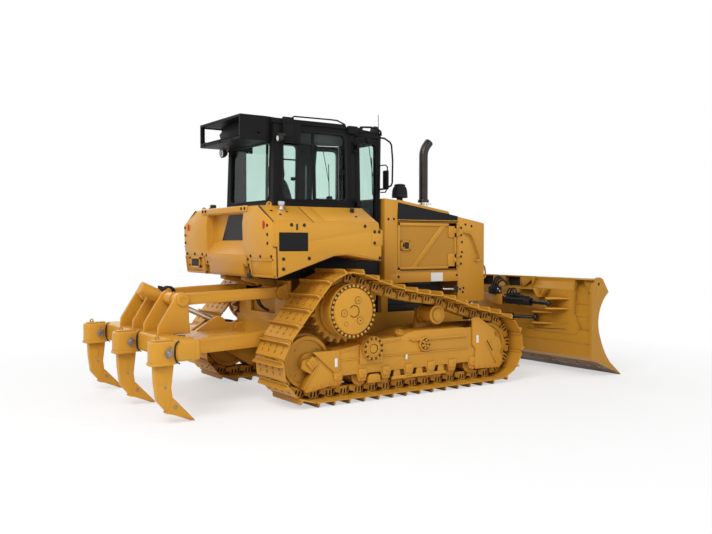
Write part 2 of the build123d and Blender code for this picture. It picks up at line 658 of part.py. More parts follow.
def cab_glass():
    """The fixed panes, set in the middle of the wall."""
    sheet = wall_between(20, 20 + GLASS)
    return apart([sheet & block(x0, x1, y0, y1, z0, z1) for _, x0, x1, y0, y1, z0, z1 in CAB_WINDOWS])


def cab_door(side):
    """A cab door's frame."""
    door = (wall_between(0, CAB_WALL) & door_region(CAB_DOOR_GAP)) - door_window(60)
    door = joined([mirror(door, about=Plane.XZ), *cab_hinge_halves()[1]])
    return door if side > 0 else mirror(door, about=Plane.XZ)


def door_glass(side):
    """The pane in a cab door."""
    pane = wall_between(20, 20 + GLASS) & door_window(60)
    return pane if side < 0 else mirror(pane, about=Plane.XZ)


def cab_roof():
    """The roof, its overhang and the open-ended box behind it."""
    z0, z1 = CAB_TOP, 3055.0
    roof = plan_plate([(-130, -570), (925, -570), (1400, -420), (1430, -380), (1430, 380), (1400, 420),
                       (925, 570), (-130, 570)], z0, z1)
    roof = chamfer(roof.edges().filter_by(Axis.Z, reverse=True).group_by(Axis.Z)[-1], 30)
    box = block(-500, -130, -520, 520, 2815, z1) - block(-470, -160, -540, 540, 2845, z1 - 30)
    antenna = rod((1315, -400, z1 - 20), (1315, -400, z1 + 20), 12)
    antenna += rod((1315, -400, z1 + 15), (1308, -400, ANTENNA_TOP), 4)
    return roof + box + antenna


def seat():
    """The operator's seat on its stand, with arm pods."""
    pieces = [block(330, 680, -150, 150, CAB_BOTTOM + 40, 1720),
              block(250, 760, -250, 250, 1720, 1860)]
    pieces.append(side_plate([(250, 1860), (390, 1860), (300, 2440), (190, 2440)], -240, 240))
    pieces.append(side_plate([(225, 2440), (285, 2440), (270, 2600), (205, 2600)], -140, 140))
    pieces += both(block(300, 760, 230, 340, 1845, 1960))
    pieces += both(block(310, 400, 230, 300, 1760, 1860))
    return joined(pieces)


def console():
    """The dash in front of the operator with its two columns of levers."""
    dash = side_plate([(1150, CAB_BOTTOM + 40), (1340, CAB_BOTTOM + 40), (1340, 2080), (1180, 2120),
                       (1090, 2060)], -330, 330)
    return dash


# Ripper

def ripper_bracket():
    """The plate on the rear of the case with the ears for both pairs of links."""
    thick, low_half, high_half = 36.0, LOWER_LINK_OUT + 30, 600.0
    rear = FRAME_REAR - thick
    plate = cross_plate([(-low_half, 560), (low_half, 560), (low_half, 800), (high_half, 850),
                         (high_half, 1280), (-high_half, 1280), (-high_half, 850), (-low_half, 800)],
                        rear, FRAME_REAR)
    plate -= block(rear - 10, FRAME_REAR + 10, -300, 300, 900, 1100)
    plate -= both(block(rear - 10, FRAME_REAR + 10, 195, 335, 1175, 1290))
    ears, bores = [], []
    for (px, pz), inner, outer in ((LINK_TOP_FRONT, UPPER_LINK_IN, UPPER_LINK_OUT),
                                   (LINK_LOW_FRONT, LOWER_LINK_IN, LOWER_LINK_OUT)):
        shape = [(rear, pz - 95), (px - 35, pz - 50), (px - 60, pz), (px - 35, pz + 50), (rear, pz + 95)]
        for y0, y1 in ((inner - 30, inner - SIDE_GAP), (outer + SIDE_GAP, outer + 30)):
            ears += both(side_plate(shape, y0, y1))
        bores += both(disc(px, pz, LINK_PIN_R + FIT, inner - 35, outer + 35))
    return joined([plate, *ears]) - bores


def link_bar(front, rear, y0, y1, height):
    """A straight link, narrower at the round eyes of its ends."""
    lean = degrees(atan2(rear[1] - front[1], rear[0] - front[0]))
    length = hypot(rear[0] - front[0], rear[1] - front[1])
    half, end_half, taper = height / 2, LINK_EYE_R * 0.9, 130.0
    corners = []
    for reach, lift in ((0, end_half), (taper, half), (length - taper, half), (length, end_half),
                        (length, -end_half), (length - taper, -half), (taper, -half), (0, -end_half)):
        shift = turned((reach, lift), (0, 0), lean)
        corners.append((front[0] + shift[0], front[1] + shift[1]))
    bar = side_plate(corners, y0, y1)
    bar = joined([bar, disc(*front, LINK_EYE_R, y0, y1), disc(*rear, LINK_EYE_R, y0, y1)])
    pin = disc(*front, LINK_PIN_R, y0 - 30, y1 + 30)
    return (bar + pin) - disc(*rear, LINK_PIN_R + FIT, y0, y1)


def ripper_upper_links():
    return apart(both(link_bar(LINK_TOP_FRONT, LINK_TOP_REAR, UPPER_LINK_IN, UPPER_LINK_OUT, 112)))


def ripper_lower_frame():
    """Both lower links, the cross plate between them and the hump that holds the cylinder's rod."""
    bar = link_bar(LINK_LOW_FRONT, LINK_LOW_REAR, LOWER_LINK_IN, LOWER_LINK_OUT, 150)
    cross = side_plate([(-420, 600), (-980, 580), (-980, 690), (-830, 735), (-610, 870), (-560, 885),
                        (-500, 870), (-420, 735)], -LOWER_LINK_IN, LOWER_LINK_IN)
    open_top = both(block(-900, -400, 90, LOWER_LINK_IN, 735, 900))
    slot = block(-1000, -400, -HUMP_SLOT, HUMP_SLOT, 735, 900)
    return joined([*both(bar), cross]) - open_top - slot


def ripper_beam():
    """The tool beam: box beam, pockets for the shanks, side and inner plates, cross tube."""
    beam = block(-1320, -1110, -BEAM_HALF, BEAM_HALF, 555, 755)
    pieces = [beam]
    for y in SHANK_Y:
        pieces.append(block(POCKET_REAR, -1420, y - 95, y + 95, 560, 775))
        pieces.append(block(-1420, -1315, y - 80, y + 80, 565, 765))
    upright = [(-1320, 740), (-1320, 800), (-1237, 1165), (-1176, 1195), (-1125, 1165), (-1105, 900),
               (-1090, 740)]
    for y0 in (UPPER_LINK_OUT + SIDE_GAP, INNER_PLATE):
        pieces += both(side_plate(upright, y0, y0 + BEAM_PLATE))
    pieces += both(disc(*LINK_TOP_REAR, 60, INNER_PLATE + BEAM_PLATE, UPPER_LINK_IN - SIDE_GAP))
    body = joined(pieces)
    # Notches for the lower links' rear ends, closed on their outside by a plate
    body -= both(block(-1255, -1100, LOWER_LINK_IN - SIDE_GAP, LOWER_LINK_OUT + SIDE_GAP, 500, 740))
    body -= both(block(-1255, -1080, LOWER_LINK_IN - SIDE_GAP, LOWER_LINK_OUT + SIDE_GAP, 730, 778))
    pins = both(disc(*LINK_LOW_REAR, LINK_PIN_R, LOWER_LINK_IN - SIDE_GAP, LOWER_LINK_OUT + SIDE_GAP))
    pins += both(disc(*LINK_TOP_REAR, LINK_PIN_R, UPPER_LINK_IN - SIDE_GAP, UPPER_LINK_OUT + SIDE_GAP))
    body = joined([body, *pins])
    cuts = [block(-1663, -1463, y - 40, y + 40, 500, 800) for y in SHANK_Y]
    cuts.append(disc(*LINK_TOP_REAR, RIPPER_PIN_R + FIT, -INNER_PLATE - 38, INNER_PLATE + 38))
    return body - cuts


def ripper_shanks():
    """Three shanks with their points, in the beam's pockets."""
    profile = [(-1663, 790), (-1463, 790), (-1468, 530), (-1491, 338), (-1477, 232), (-1254, EDGE_TIP_Z),
               (-1530, 109), (-1625, 223), (-1650, 400)]
    shape = side_plate(profile, -40, 40)
    return apart([Pos(0, y, 0) * shape for y in SHANK_Y])


def ripper_axis():
    """Unit direction and length from the ripper barrel's trunnion to its rod's eye."""
    dx, dz = HUMP_EYE[0] - LINK_TOP_REAR[0], HUMP_EYE[1] - LINK_TOP_REAR[1]
    length = hypot(dx, dz)
    return (dx / length, dz / length), length


def along_line(start, direction, reach, y=0.0):
    return (start[0] + direction[0] * reach, y, start[1] + direction[1] * reach)


def ripper_barrel():
    direction, _ = ripper_axis()
    tube = rod(along_line(LINK_TOP_REAR, direction, -250), along_line(LINK_TOP_REAR, direction, 210), 68)
    bore = rod(along_line(LINK_TOP_REAR, direction, -215), along_line(LINK_TOP_REAR, direction, 220),
               RIPPER_ROD_R + FIT)
    pins = disc(*LINK_TOP_REAR, RIPPER_PIN_R, -INNER_PLATE - 35, INNER_PLATE + 35)
    return tube + pins - bore


def ripper_rod():
    direction, length = ripper_axis()
    bar = rod(along_line(LINK_TOP_REAR, direction, -20), along_line(LINK_TOP_REAR, direction, length),
              RIPPER_ROD_R)
    return bar + disc(*HUMP_EYE, 48, -HUMP_SLOT + SIDE_GAP, HUMP_SLOT - SIDE_GAP)


# Blade gear

def c_frame():
    """Two arms from the main frame's trunnions, the cross beam and the nose that carries the blade."""
    arm = side_plate([(ARM_X, ARM_Z + 90), (1600, 710), (2850, 710), (3220, 630), (3400, 620), (3400, 380),
                      (3150, 400), (2800, 520), (1700, 520), (ARM_X, ARM_Z - 90)], ARM_IN, ARM_OUT)
    arm = joined([arm, disc(ARM_X, ARM_Z, 105, ARM_IN, ARM_OUT)])
    pieces = both(arm - disc(ARM_X, ARM_Z, ARM_PIN_R + FIT, ARM_IN, ARM_OUT))
    pieces.append(block(3220, 3390, -ARM_IN, ARM_IN, NOSE_Z0, NOSE_Z1))
    pieces.append(plan_plate([(3390, -200), (YOKE_X, -65), (YOKE_X, 65), (3390, 200)], NOSE_Z0, NOSE_Z1))
    pieces.append(rod((YOKE_X, 0, NOSE_Z0), (YOKE_X, 0, NOSE_Z1), 65))
    ex, ez = LIFT_EYE
    lug = [(3220, 400), (ex, ez - 60), (ex - 55, ez - 30), (ex - 60, ez + 20), (ex, ez + 60), (3220, 560)]
    for y0, y1 in ((LIFT_Y - 80, LIFT_Y - 55), (LIFT_Y + 55, LIFT_Y + 80)):
        pieces += both(side_plate(lug, y0, y1))
    bx, by, bz = ANGLE_BASE
    pieces += both(rod((bx, by, NOSE_Z1), (bx, by, bz - GIMBAL_FOOT - FIT), 50))
    return joined(pieces) - rod((YOKE_X, 0, NOSE_Z0), (YOKE_X, 0, NOSE_Z1), YOKE_PIN_R + FIT)


def angle_yoke():
    """The swivel on the C-frame's nose: pin and cheeks, trunnion for the tilt, tower for its cylinder."""
    rear, front = YOKE_X + 75, YOKE_X + 135
    pin = rod((YOKE_X, 0, NOSE_Z0 - 40), (YOKE_X, 0, NOSE_Z1 + 40), YOKE_PIN_R)
    top = 1000.0
    body = block(rear, front, -170, 170, NOSE_Z0 - 45, top)
    cheek = [(YOKE_X - 60, -70), (front, -110), (front, 110), (YOKE_X - 60, 70)]
    cheeks = [plan_plate(cheek, NOSE_Z1 + SIDE_GAP, NOSE_Z1 + 45),
              plan_plate(cheek, NOSE_Z0 - 45, NOSE_Z0 - SIDE_GAP)]
    boss = rod((front, 0, TILT_Z), (YOKE_X + 200, 0, TILT_Z), 110)
    trunnion = rod((front, 0, TILT_Z), (BLADE_BACK - 30, 0, TILT_Z), TRUNNION_R)
    x, y, z = TILT_BASE
    half = TILT_EYE_R + SIDE_GAP
    tower = block(x - half - 18, x + half + 18, y - 50, -150, z - 70, top)
    slot = block(x - half, x + half, y - 60, y + 55, z - 80, top + 10)
    eye_pin = rod((x - half - 18, y, z), (x + half + 18, y, z), EYE_PIN_R)
    return joined([pin, body, *cheeks, boss, trunnion, tower - slot, eye_pin])


def blade():
    """The mouldboard with its box back and end plates."""
    front = [(4098, 1080), (3925, 696), (4128, 190)]
    back = [(BLADE_BACK, 245), (BLADE_BACK, 1095), (3870, 1190), (3870, 1240), (4020, 1240)]
    outline = [Polyline((4128, 190), (4060, 160), *back, (4098, 1080)), ThreePointArc(*front)]
    plane = Plane(origin=(0, BLADE_HALF - END_PLATE, 0), x_dir=(1, 0, 0), z_dir=(0, -1, 0))
    board = extrude(plane * make_face(outline), amount=2 * (BLADE_HALF - END_PLATE))
    toe = (EDGE_TIP_X - 24, EDGE_TIP_Z + 17)
    end_lines = [Polyline((4103, 1072), (3990, 1260), (3870, 1260), (3780, 1150), (3780, 245),
                          (toe[0] - 40, toe[1] + 10), toe),
                 ThreePointArc(toe, (toe[0] - 260, toe[1] + 230), (3950, 500)),
                 ThreePointArc((3950, 500), (3909, 730), (4103, 1072))]
    end_plane = Plane(origin=(0, BLADE_HALF, 0), x_dir=(1, 0, 0), z_dir=(0, -1, 0))
    end = extrude(end_plane * make_face(end_lines), amount=END_PLATE)
    end -= disc(*LIFT_HOLE, LIFT_HOLE_R, BLADE_HALF - END_PLATE, BLADE_HALF)
    # The board stops short of the end plates behind their lifting holes
    notch = block(BLADE_BACK - 10, LIFT_HOLE[0] + 75, BLADE_HALF - 160, BLADE_HALF - END_PLATE,
                  LIFT_HOLE[1] - 55, LIFT_HOLE[1] + 120)
    return joined([board - both(notch), *both(end)])


def blade_lugs():
    """The trunnion housing and the pairs of plates that hold the cylinders' rods, on the blade's back."""
    housing = rod((YOKE_X + 200 + SIDE_GAP, 0, TILT_Z), (BLADE_BACK, 0, TILT_Z), 150)
    housing -= rod((YOKE_X + 200, 0, TILT_Z), (BLADE_BACK - 25, 0, TILT_Z), TRUNNION_R + FIT)
    plates = [housing]
    lx, ly, lz = ANGLE_LUG
    for side in (-1, 1):
        for z0, z1 in ((lz - 82, lz - 62), (lz + 62, lz + 82)):
            points = [(BLADE_BACK, side * (ly - 120)), (lx - 20, side * (ly - 45)), (lx - 45, side * ly),
                      (lx - 20, side * (ly + 45)), (BLADE_BACK, side * (ly + 250))]
            plates.append(plan_plate(points if side > 0 else points[::-1], z0, z1))
    tx, ty, tz = TILT_LUG
    for z0, z1 in ((tz - 75, tz - 55), (tz + 55, tz + 75)):
        points = [(BLADE_BACK, ty + 120), (tx - 20, ty + 45), (tx - 45, ty), (tx - 20, ty - 45),
                  (BLADE_BACK, ty - 200)]
        plates.append(plan_plate(points[::-1], z0, z1))
    return apart(plates)


def cutting_edge():
    """The bolted cutting edge with its end bits."""
    profile = [(4128, 190), (EDGE_TIP_X, EDGE_TIP_Z), (EDGE_TIP_X - 39, EDGE_TIP_Z), (4060, 158)]
    return side_plate(profile, -BLADE_HALF + END_PLATE, BLADE_HALF - END_PLATE)


def cylinder_parts(base, eye, pin_along, barrel_r, rod_r, barrel_end, eye_r):
    """A cylinder from base to eye: the barrel, bored for its rod and base pin, and the rod with its ball."""
    line = Vector(*eye) - Vector(*base)
    unit = line.normalized()

    def at(reach):
        return tuple(Vector(*base) + unit * reach)

    neck_end = eye_r + 42
    barrel = Pos(*base) * Sphere(eye_r)
    barrel += rod(at(eye_r * 0.5), at(neck_end + 5), rod_r)
    barrel += rod(at(neck_end), at(barrel_end), barrel_r)
    barrel -= rod(at(neck_end + 20), at(barrel_end + 10), rod_r + FIT)
    reach = Vector(*pin_along) * (eye_r + 10)
    barrel -= rod(tuple(Vector(*base) - reach), tuple(Vector(*base) + reach), EYE_PIN_R + FIT)
    bar = rod(at(neck_end + 130), at(line.length - eye_r * 0.5), rod_r) + Pos(*eye) * Sphere(eye_r)
    return barrel, bar


def angle_run(side):
    """An angle cylinder's base and eye, and the level direction across it."""
    base = (ANGLE_BASE[0], side * ANGLE_BASE[1], ANGLE_BASE[2])
    eye = (ANGLE_LUG[0], side * ANGLE_LUG[1], ANGLE_LUG[2])
    run = hypot(eye[0] - base[0], eye[1] - base[1])
    return base, eye, ((eye[1] - base[1]) / run, -(eye[0] - base[0]) / run, 0.0)


def angle_cylinder(side):
    base, eye, across = angle_run(side)
    return cylinder_parts(base, eye, across, 50, 25, 470, ANGLE_EYE_R)


def angle_gimbal(side):
    """The turning foot under an angle cylinder's base, with two cheeks and the pin between them."""
    base, _, across = angle_run(side)
    x, y, z = base
    inner, outer = ANGLE_EYE_R + SIDE_GAP, ANGLE_EYE_R + SIDE_GAP + 16
    foot = rod((x, y, z - GIMBAL_FOOT), (x, y, z - GIMBAL_FOOT + 16), outer + 4)
    half = 34.0
    pieces = [foot]
    for way in (-1, 1):
        corners = []
        for reach, along in ((inner, -half), (outer, -half), (outer, half), (inner, half)):
            corners.append((x + way * reach * across[0] - along * across[1],
                            y + way * reach * across[1] + along * across[0]))
        pieces.append(plan_plate(corners, z - GIMBAL_FOOT, z + 34))
    ends = [tuple(Vector(*base) + Vector(*across) * way * outer) for way in (-1, 1)]
    pieces.append(rod(*ends, EYE_PIN_R))
    return joined(pieces)


def tilt_cylinder():
    return cylinder_parts(TILT_BASE, TILT_LUG, (1, 0, 0), 55, 28, 500, TILT_EYE_R)


def lift_line():
    dx, dz = LIFT_EYE[0] - LIFT_TRUNNION[0], LIFT_EYE[1] - LIFT_TRUNNION[1]
    length = hypot(dx, dz)
    return (dx / length, dz / length), length


def lift_barrels():
    direction, _ = lift_line()
    start = along_line(LIFT_TRUNNION, direction, -800, LIFT_Y)
    end = along_line(LIFT_TRUNNION, direction, 95, LIFT_Y)
    bore_start = along_line(LIFT_TRUNNION, direction, -770, LIFT_Y)
    bore_end = along_line(LIFT_TRUNNION, direction, 100, LIFT_Y)
    pins = disc(*LIFT_TRUNNION, LIFT_PIN_R, LIFT_Y - 108, LIFT_Y + 108)
    barrel = rod(start, end, LIFT_BARREL_R) + pins
    return apart(both(barrel - rod(bore_start, bore_end, LIFT_ROD_R + FIT)))


def lift_rods():
    direction, length = lift_line()
    start = along_line(LIFT_TRUNNION, direction, -190, LIFT_Y)
    bar = rod(start, along_line(LIFT_TRUNNION, direction, length, LIFT_Y), LIFT_ROD_R)
    return apart(both(bar + disc(*LIFT_EYE, 50, LIFT_Y - 50, LIFT_Y + 50)))


def build():
    """Every node by name."""
    angle_barrel_right, angle_rod_right = angle_cylinder(-1)
    angle_barrel_left, angle_rod_left = angle_cylinder(1)
    tilt_barrel, tilt_rod = tilt_cylinder()
    return {
        "main_frame": main_frame(),
        "engine": engine(),
        "final_drives": final_drives(),
        "roller_frames": roller_frames(),
        "track_wheels": track_wheels(),
        "track_right": track(-1),
        "track_left": track(1),
        "rear_tank": rear_tank(),
        "hood": hood(),
        "engine_door_right": engine_door(-1),
        "engine_door_left": engine_door(1),
        "radiator_guard": radiator_guard(),
        "exhaust_stack": exhaust_stack(),
        "air_cleaner": air_cleaner(),
        "cab_shell": cab_shell(),
        "cab_glass": cab_glass(),
        "cab_roof": cab_roof(),
        "cab_door_right": cab_door(-1),
        "cab_door_left": cab_door(1),
        "door_glass_right": door_glass(-1),
        "door_glass_left": door_glass(1),
        "seat": seat(),
        "console": console(),
        "ripper_bracket": ripper_bracket(),
        "ripper_upper_links": ripper_upper_links(),
        "ripper_lower_frame": ripper_lower_frame(),
        "ripper_beam": ripper_beam(),
        "ripper_shanks": ripper_shanks(),
        "ripper_barrel": ripper_barrel(),
        "ripper_rod": ripper_rod(),
        "c_frame": c_frame(),
        "angle_yoke": angle_yoke(),
        "blade": blade(),
        "blade_lugs": blade_lugs(),
        "cutting_edge": cutting_edge(),
        "lift_barrels": lift_barrels(),
        "lift_rods": lift_rods(),
        "angle_gimbal_right": angle_gimbal(-1),
        "angle_gimbal_left": angle_gimbal(1),
        "angle_barrel_right": angle_barrel_right,
        "angle_rod_right": angle_rod_right,
        "angle_barrel_left": angle_barrel_left,
        "angle_rod_left": angle_rod_left,
        "tilt_barrel": tilt_barrel,
        "tilt_rod": tilt_rod,
    }


if __name__ == "__main__":
    os.makedirs("parts", exist_ok=True)
    for name, shape in build().items():
        placed = [Pos(X_SHIFT, 0, 0) * solid for solid in shape.solids()]
        export_step(placed[0] if len(placed) == 1 else Compound(placed), f"parts/{name}.step")
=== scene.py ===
import contextlib
import json
import math

import bpy
from mathutils import Matrix, Vector

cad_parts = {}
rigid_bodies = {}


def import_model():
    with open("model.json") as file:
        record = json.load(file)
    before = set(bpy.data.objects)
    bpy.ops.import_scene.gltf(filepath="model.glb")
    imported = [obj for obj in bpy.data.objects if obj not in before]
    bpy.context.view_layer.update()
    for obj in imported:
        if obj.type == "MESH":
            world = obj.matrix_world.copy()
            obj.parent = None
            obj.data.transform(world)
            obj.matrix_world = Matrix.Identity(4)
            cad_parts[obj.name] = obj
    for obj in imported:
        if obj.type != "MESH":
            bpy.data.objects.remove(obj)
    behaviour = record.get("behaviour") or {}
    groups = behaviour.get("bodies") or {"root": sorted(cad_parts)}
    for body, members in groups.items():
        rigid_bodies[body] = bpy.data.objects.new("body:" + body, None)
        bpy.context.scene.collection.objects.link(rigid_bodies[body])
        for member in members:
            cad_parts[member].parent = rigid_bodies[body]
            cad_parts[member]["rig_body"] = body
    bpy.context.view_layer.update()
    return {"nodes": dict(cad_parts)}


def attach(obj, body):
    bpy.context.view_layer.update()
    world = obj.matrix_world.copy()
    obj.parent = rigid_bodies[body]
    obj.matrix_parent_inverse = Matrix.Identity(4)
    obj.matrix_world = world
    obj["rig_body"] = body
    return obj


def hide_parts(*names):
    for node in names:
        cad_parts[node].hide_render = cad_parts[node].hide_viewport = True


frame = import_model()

bl_info = {
    "name": "Crawler dozer dressing",
    "version": (1, 0, 0),
    "blender": (4, 5, 0),
    "location": "View3D > Sidebar > Dozer",
    "description": "Dresses the packed crawler dozer with its shapes, finishes, light and camera",
    "category": "Object",
}

X0 = -1.3305          # the rear idler's axle; all places below are measured from it along X
HALF_GAUGE = 0.945
SHOE_OUT = 1.25       # outer ends of the track shoes
PIN_Z = 0.119         # track pins over the ground
IDLER_Z = 0.447
WHEELBASE = 2.58
SPROCKET = (0.46, 0.972)
CARRIER = (1.75, 0.8608)
ROLLER_XS = [0.33 + 0.32 * i for i in range(7)]
ROLLER_Z = 0.2473
FRAME_OUT = 1.12      # outer faces of the roller frames
HOOD_HALF = 0.47
TANK_HALF = 1.134
PIVOT = (0.764, 0.548)       # pivot shaft's cap on a roller frame
RECOIL = (1.51, 0.543)       # port of the track's recoil spring
SHANK_YS = (-1.05, 0.0, 1.05)
CAB_HINGE = (0.94, -0.616)  # x, y of the right cab door's hinge line
CAB_HINGES = (1.62, 2.1, 2.76)
KNUCKLE = 0.06              # height of a cab door's own hinge knuckle
TILT_BASE = (3.58, -0.28, 0.93)
RIGHT = (0, -1, 0)
UP = (0, 0, 1)
REAR = (-1, 0, 0)
DOOR_OUT = (0.36, -0.93, 0)  # straight out of the right cab door
MERGE = 0.00001              # points closer than this are one


# Settings

def colour_setting(name, description, default):
    return bpy.props.FloatVectorProperty(name=name, description=description, subtype="COLOR", size=4, min=0,
        max=1, default=default)


def length_setting(name, description, default):
    return bpy.props.FloatProperty(name=name, description=description, default=default, subtype="DISTANCE",
        unit="LENGTH")


class PaintSettings(bpy.types.PropertyGroup):
    """Colours of the machine's finishes."""
    yellow: colour_setting("Yellow", "Paint of the body, tracks and tools", (0.6, 0.285, 0.028, 1))
    black: colour_setting("Black", "Paint of the cab", (0.008, 0.008, 0.0085, 1))
    dark: colour_setting("Dark", "Rubber, hoses and shaded works", (0.02, 0.018, 0.016, 1))
    glass: colour_setting("Glass", "Tint of the panes", (0.667, 0.794, 0.747, 1))
    steel: colour_setting("Steel", "Bare steel of pins and worn edges", (0.33, 0.31, 0.29, 1))


class TrackSettings(bpy.types.PropertyGroup):
    """Sizes of the tracks."""
    shoe_count: bpy.props.IntProperty(name="Shoes", description="Shoes on each track", default=40, min=10,
        max=80)
    grouser: length_setting("Grouser", "Height of the bar on each shoe", 0.047)
    pin_depth: length_setting("Pin depth", "From a shoe's outer face in to its pins", 0.072)
    sag: length_setting("Sag", "Slack of the run between sprocket and carrier roller", 0.05)


class CameraSettings(bpy.types.PropertyGroup):
    """The view that the render is taken from."""
    lens: bpy.props.FloatProperty(name="Lens", description="Focal length on a 36 mm sensor", default=40.21)
    azimuth: bpy.props.FloatProperty(name="Azimuth",
        description="Turn of the view from straight across the machine towards its front",
        default=math.radians(34.38), subtype="ANGLE", unit="ROTATION")
    pitch: bpy.props.FloatProperty(name="Pitch", description="Tilt of the view below level",
        default=math.radians(1.59), subtype="ANGLE", unit="ROTATION")
    place: bpy.props.FloatVectorProperty(name="Place", description="Where the camera stands",
        default=(X0 - 4.2366, -8.1442, 1.6701), subtype="TRANSLATION", unit="LENGTH")


class DozerSettings(bpy.types.PropertyGroup):
    """Everything that can be set."""
    paint: bpy.props.PointerProperty(type=PaintSettings, name="Paint", description="Colours")
    track: bpy.props.PointerProperty(type=TrackSettings, name="Tracks", description="Track sizes")
    camera: bpy.props.PointerProperty(type=CameraSettings, name="Camera", description="The view")


# Modelling helpers

def deselect():
    bpy.ops.object.select_all(action="DESELECT")


def choose(piece):
    deselect()
    piece.select_set(True)
    bpy.context.view_layer.objects.active = piece


def dropped(piece):
    mesh = piece.data
    bpy.data.objects.remove(piece)
    bpy.data.meshes.remove(mesh)


@contextlib.contextmanager
def editing(piece):
    """Edit mode on a piece with all of it selected."""
    choose(piece)
    bpy.ops.object.mode_set(mode="EDIT")
    bpy.ops.mesh.select_all(action="SELECT")
    yield
    bpy.ops.object.mode_set(mode="OBJECT")


def applied(piece, kind, **settings):
    """Adds a modifier and applies it."""
    choose(piece)
    modifier = piece.modifiers.new(kind.title(), kind)
    for name, value in settings.items():
        setattr(modifier, name, value)
    bpy.ops.object.modifier_apply(modifier=modifier.name)
    return piece


def rounded(piece, width=0.004, segments=2, angle=35):
    """Rounds a piece's edges and shades it smooth up to that angle."""
    if width:
        applied(piece, "BEVEL", width=width, segments=segments, limit_method="ANGLE",
            angle_limit=math.radians(angle), use_clamp_overlap=True, miter_outer="MITER_ARC")
    choose(piece)
    bpy.ops.object.shade_smooth_by_angle(angle=math.radians(angle))
    return piece


def outward(piece):
    """Merges doubled points and turns every face outwards."""
    with editing(piece):
        bpy.ops.mesh.remove_doubles(threshold=MERGE)
        bpy.ops.mesh.normals_make_consistent(inside=False)
    return piece


def at_machine(piece):
    """Puts a piece modelled from the rear idler's axle where the frame has it."""
    piece.data.transform(Matrix.Translation((X0, 0, 0)) @ piece.matrix_world)
    piece.matrix_world = Matrix.Identity(4)
    return piece


def plate(points, side, low, high, width=0.003, segments=2):
    """A plate with an outline; side says along which axis it has its thickness, from low to high."""
    deselect()
    bpy.ops.mesh.primitive_circle_add(vertices=len(points), fill_type="NGON")
    piece = bpy.context.object
    lift = high - low
    for vertex, (a, b) in zip(piece.data.vertices, points):
        vertex.co = {"X": (low, a, b), "Y": (a, low, b), "Z": (a, b, low)}[side]
    move = {"X": (lift, 0, 0), "Y": (0, lift, 0), "Z": (0, 0, lift)}[side]
    with editing(piece):
        bpy.ops.mesh.extrude_region_move(TRANSFORM_OT_translate={"value": move})
    at_machine(piece)
    outward(piece)
    return rounded(piece, width, segments)


def slab(x0, x1, y0, y1, z0, z1, width=0.003, segments=2):
    """A box given by its faces."""
    return plate([(x0, z0), (x1, z0), (x1, z1), (x0, z1)], "Y", y0, y1, width, segments)


def bar(start, end, radius, sides=24, width=0.002):
    """A round bar between two points, its ends eased."""
    deselect()
    line = Vector(end) - Vector(start)
    bpy.ops.mesh.primitive_cylinder_add(vertices=sides, radius=radius, depth=line.length)
    piece = bpy.context.object
    turn = line.to_track_quat("Z", "Y").to_matrix().to_4x4()
    piece.matrix_world = Matrix.Translation((Vector(start) + Vector(end)) / 2) @ turn
    at_machine(piece)
    return rounded(piece, width, 1, 40)


def turned_part(profile, centre, axis, steps=48):
    """A round piece: (radius, height) points spun about an axis through a centre."""
    deselect()
    bpy.ops.mesh.primitive_circle_add(vertices=len(profile), fill_type="NOTHING")
    piece = bpy.context.object
    for vertex, (radius, height) in zip(piece.data.vertices, profile):
        vertex.co = (radius, 0, height)
    ends = {0, len(profile) - 1}
    bpy.ops.object.mode_set(mode="EDIT")
    if profile[0][0] == profile[-1][0] == 0:
        bpy.ops.mesh.select_all(action="DESELECT")
        bpy.ops.object.mode_set(mode="OBJECT")
        for vertex in piece.data.vertices:
            vertex.select = vertex.index in ends
        bpy.ops.object.mode_set(mode="EDIT")
        bpy.ops.mesh.select_mode(type="EDGE")
        bpy.ops.mesh.delete(type="EDGE")
        bpy.ops.mesh.select_mode(type="VERT")
    bpy.ops.mesh.select_all(action="SELECT")
    bpy.ops.mesh.spin(steps=steps, angle=2 * math.pi, center=(0, 0, 0), axis=UP)
    bpy.ops.object.mode_set(mode="OBJECT")
    turn = Vector(axis).to_track_quat("Z", "Y").to_matrix().to_4x4()
    piece.matrix_world = Matrix.Translation(centre) @ turn
    at_machine(piece)
    outward(piece)
    return rounded(piece, 0, 1, 28)


def cap(radius, edge, top_radius, top, centre, axis, steps):
    """A plain round cap: its radius up to the edge's height, and its smaller top."""
    return turned_part([(0, 0), (radius, 0), (radius, edge), (top_radius, top), (0, top)], centre, axis,
        steps)


def pipe(points, radius, sides=12, corner=0.0):
    """A round pipe or hose along points, on a smooth curve; corner gives straight runs instead."""
    curve = bpy.data.curves.new("pipe", "CURVE")
    curve.dimensions = "3D"
    curve.bevel_depth = radius
    curve.bevel_resolution = max(1, sides // 4 - 1)
    curve.use_fill_caps = True
    spline = curve.splines.new("POLY" if corner else "NURBS")
    spline.points.add(len(points) - 1)
    for point, place in zip(spline.points, points):
        point.co = (*place, 1)
    if not corner:
        spline.order_u = 3
        spline.use_endpoint_u = True
        spline.resolution_u = 6
    piece = bpy.data.objects.new("pipe", curve)
    bpy.context.scene.collection.objects.link(piece)
    choose(piece)
    bpy.ops.object.convert(target="MESH")
    piece = bpy.context.object
    at_machine(piece)
    outward(piece)
    return rounded(piece, 0, 1, 40)


def copied(piece):
    copy = piece.copy()
    copy.data = piece.data.copy()
    bpy.context.scene.collection.objects.link(copy)
    return copy


def copies(pattern, places):
    """Copies of a piece at the places, each a matrix, joined; the pattern itself goes."""
    made = []
    there, back = Matrix.Translation((X0, 0, 0)), Matrix.Translation((-X0, 0, 0))
    for place in places:
        copy = copied(pattern)
        copy.data.transform(there @ place @ back)
        made.append(copy)
    dropped(pattern)
    return joined(made)


def joined(pieces):
    deselect()
    for piece in pieces:
        piece.select_set(True)
    bpy.context.view_layer.objects.active = pieces[0]
    if len(pieces) > 1:
        bpy.ops.object.join()
    return bpy.context.object


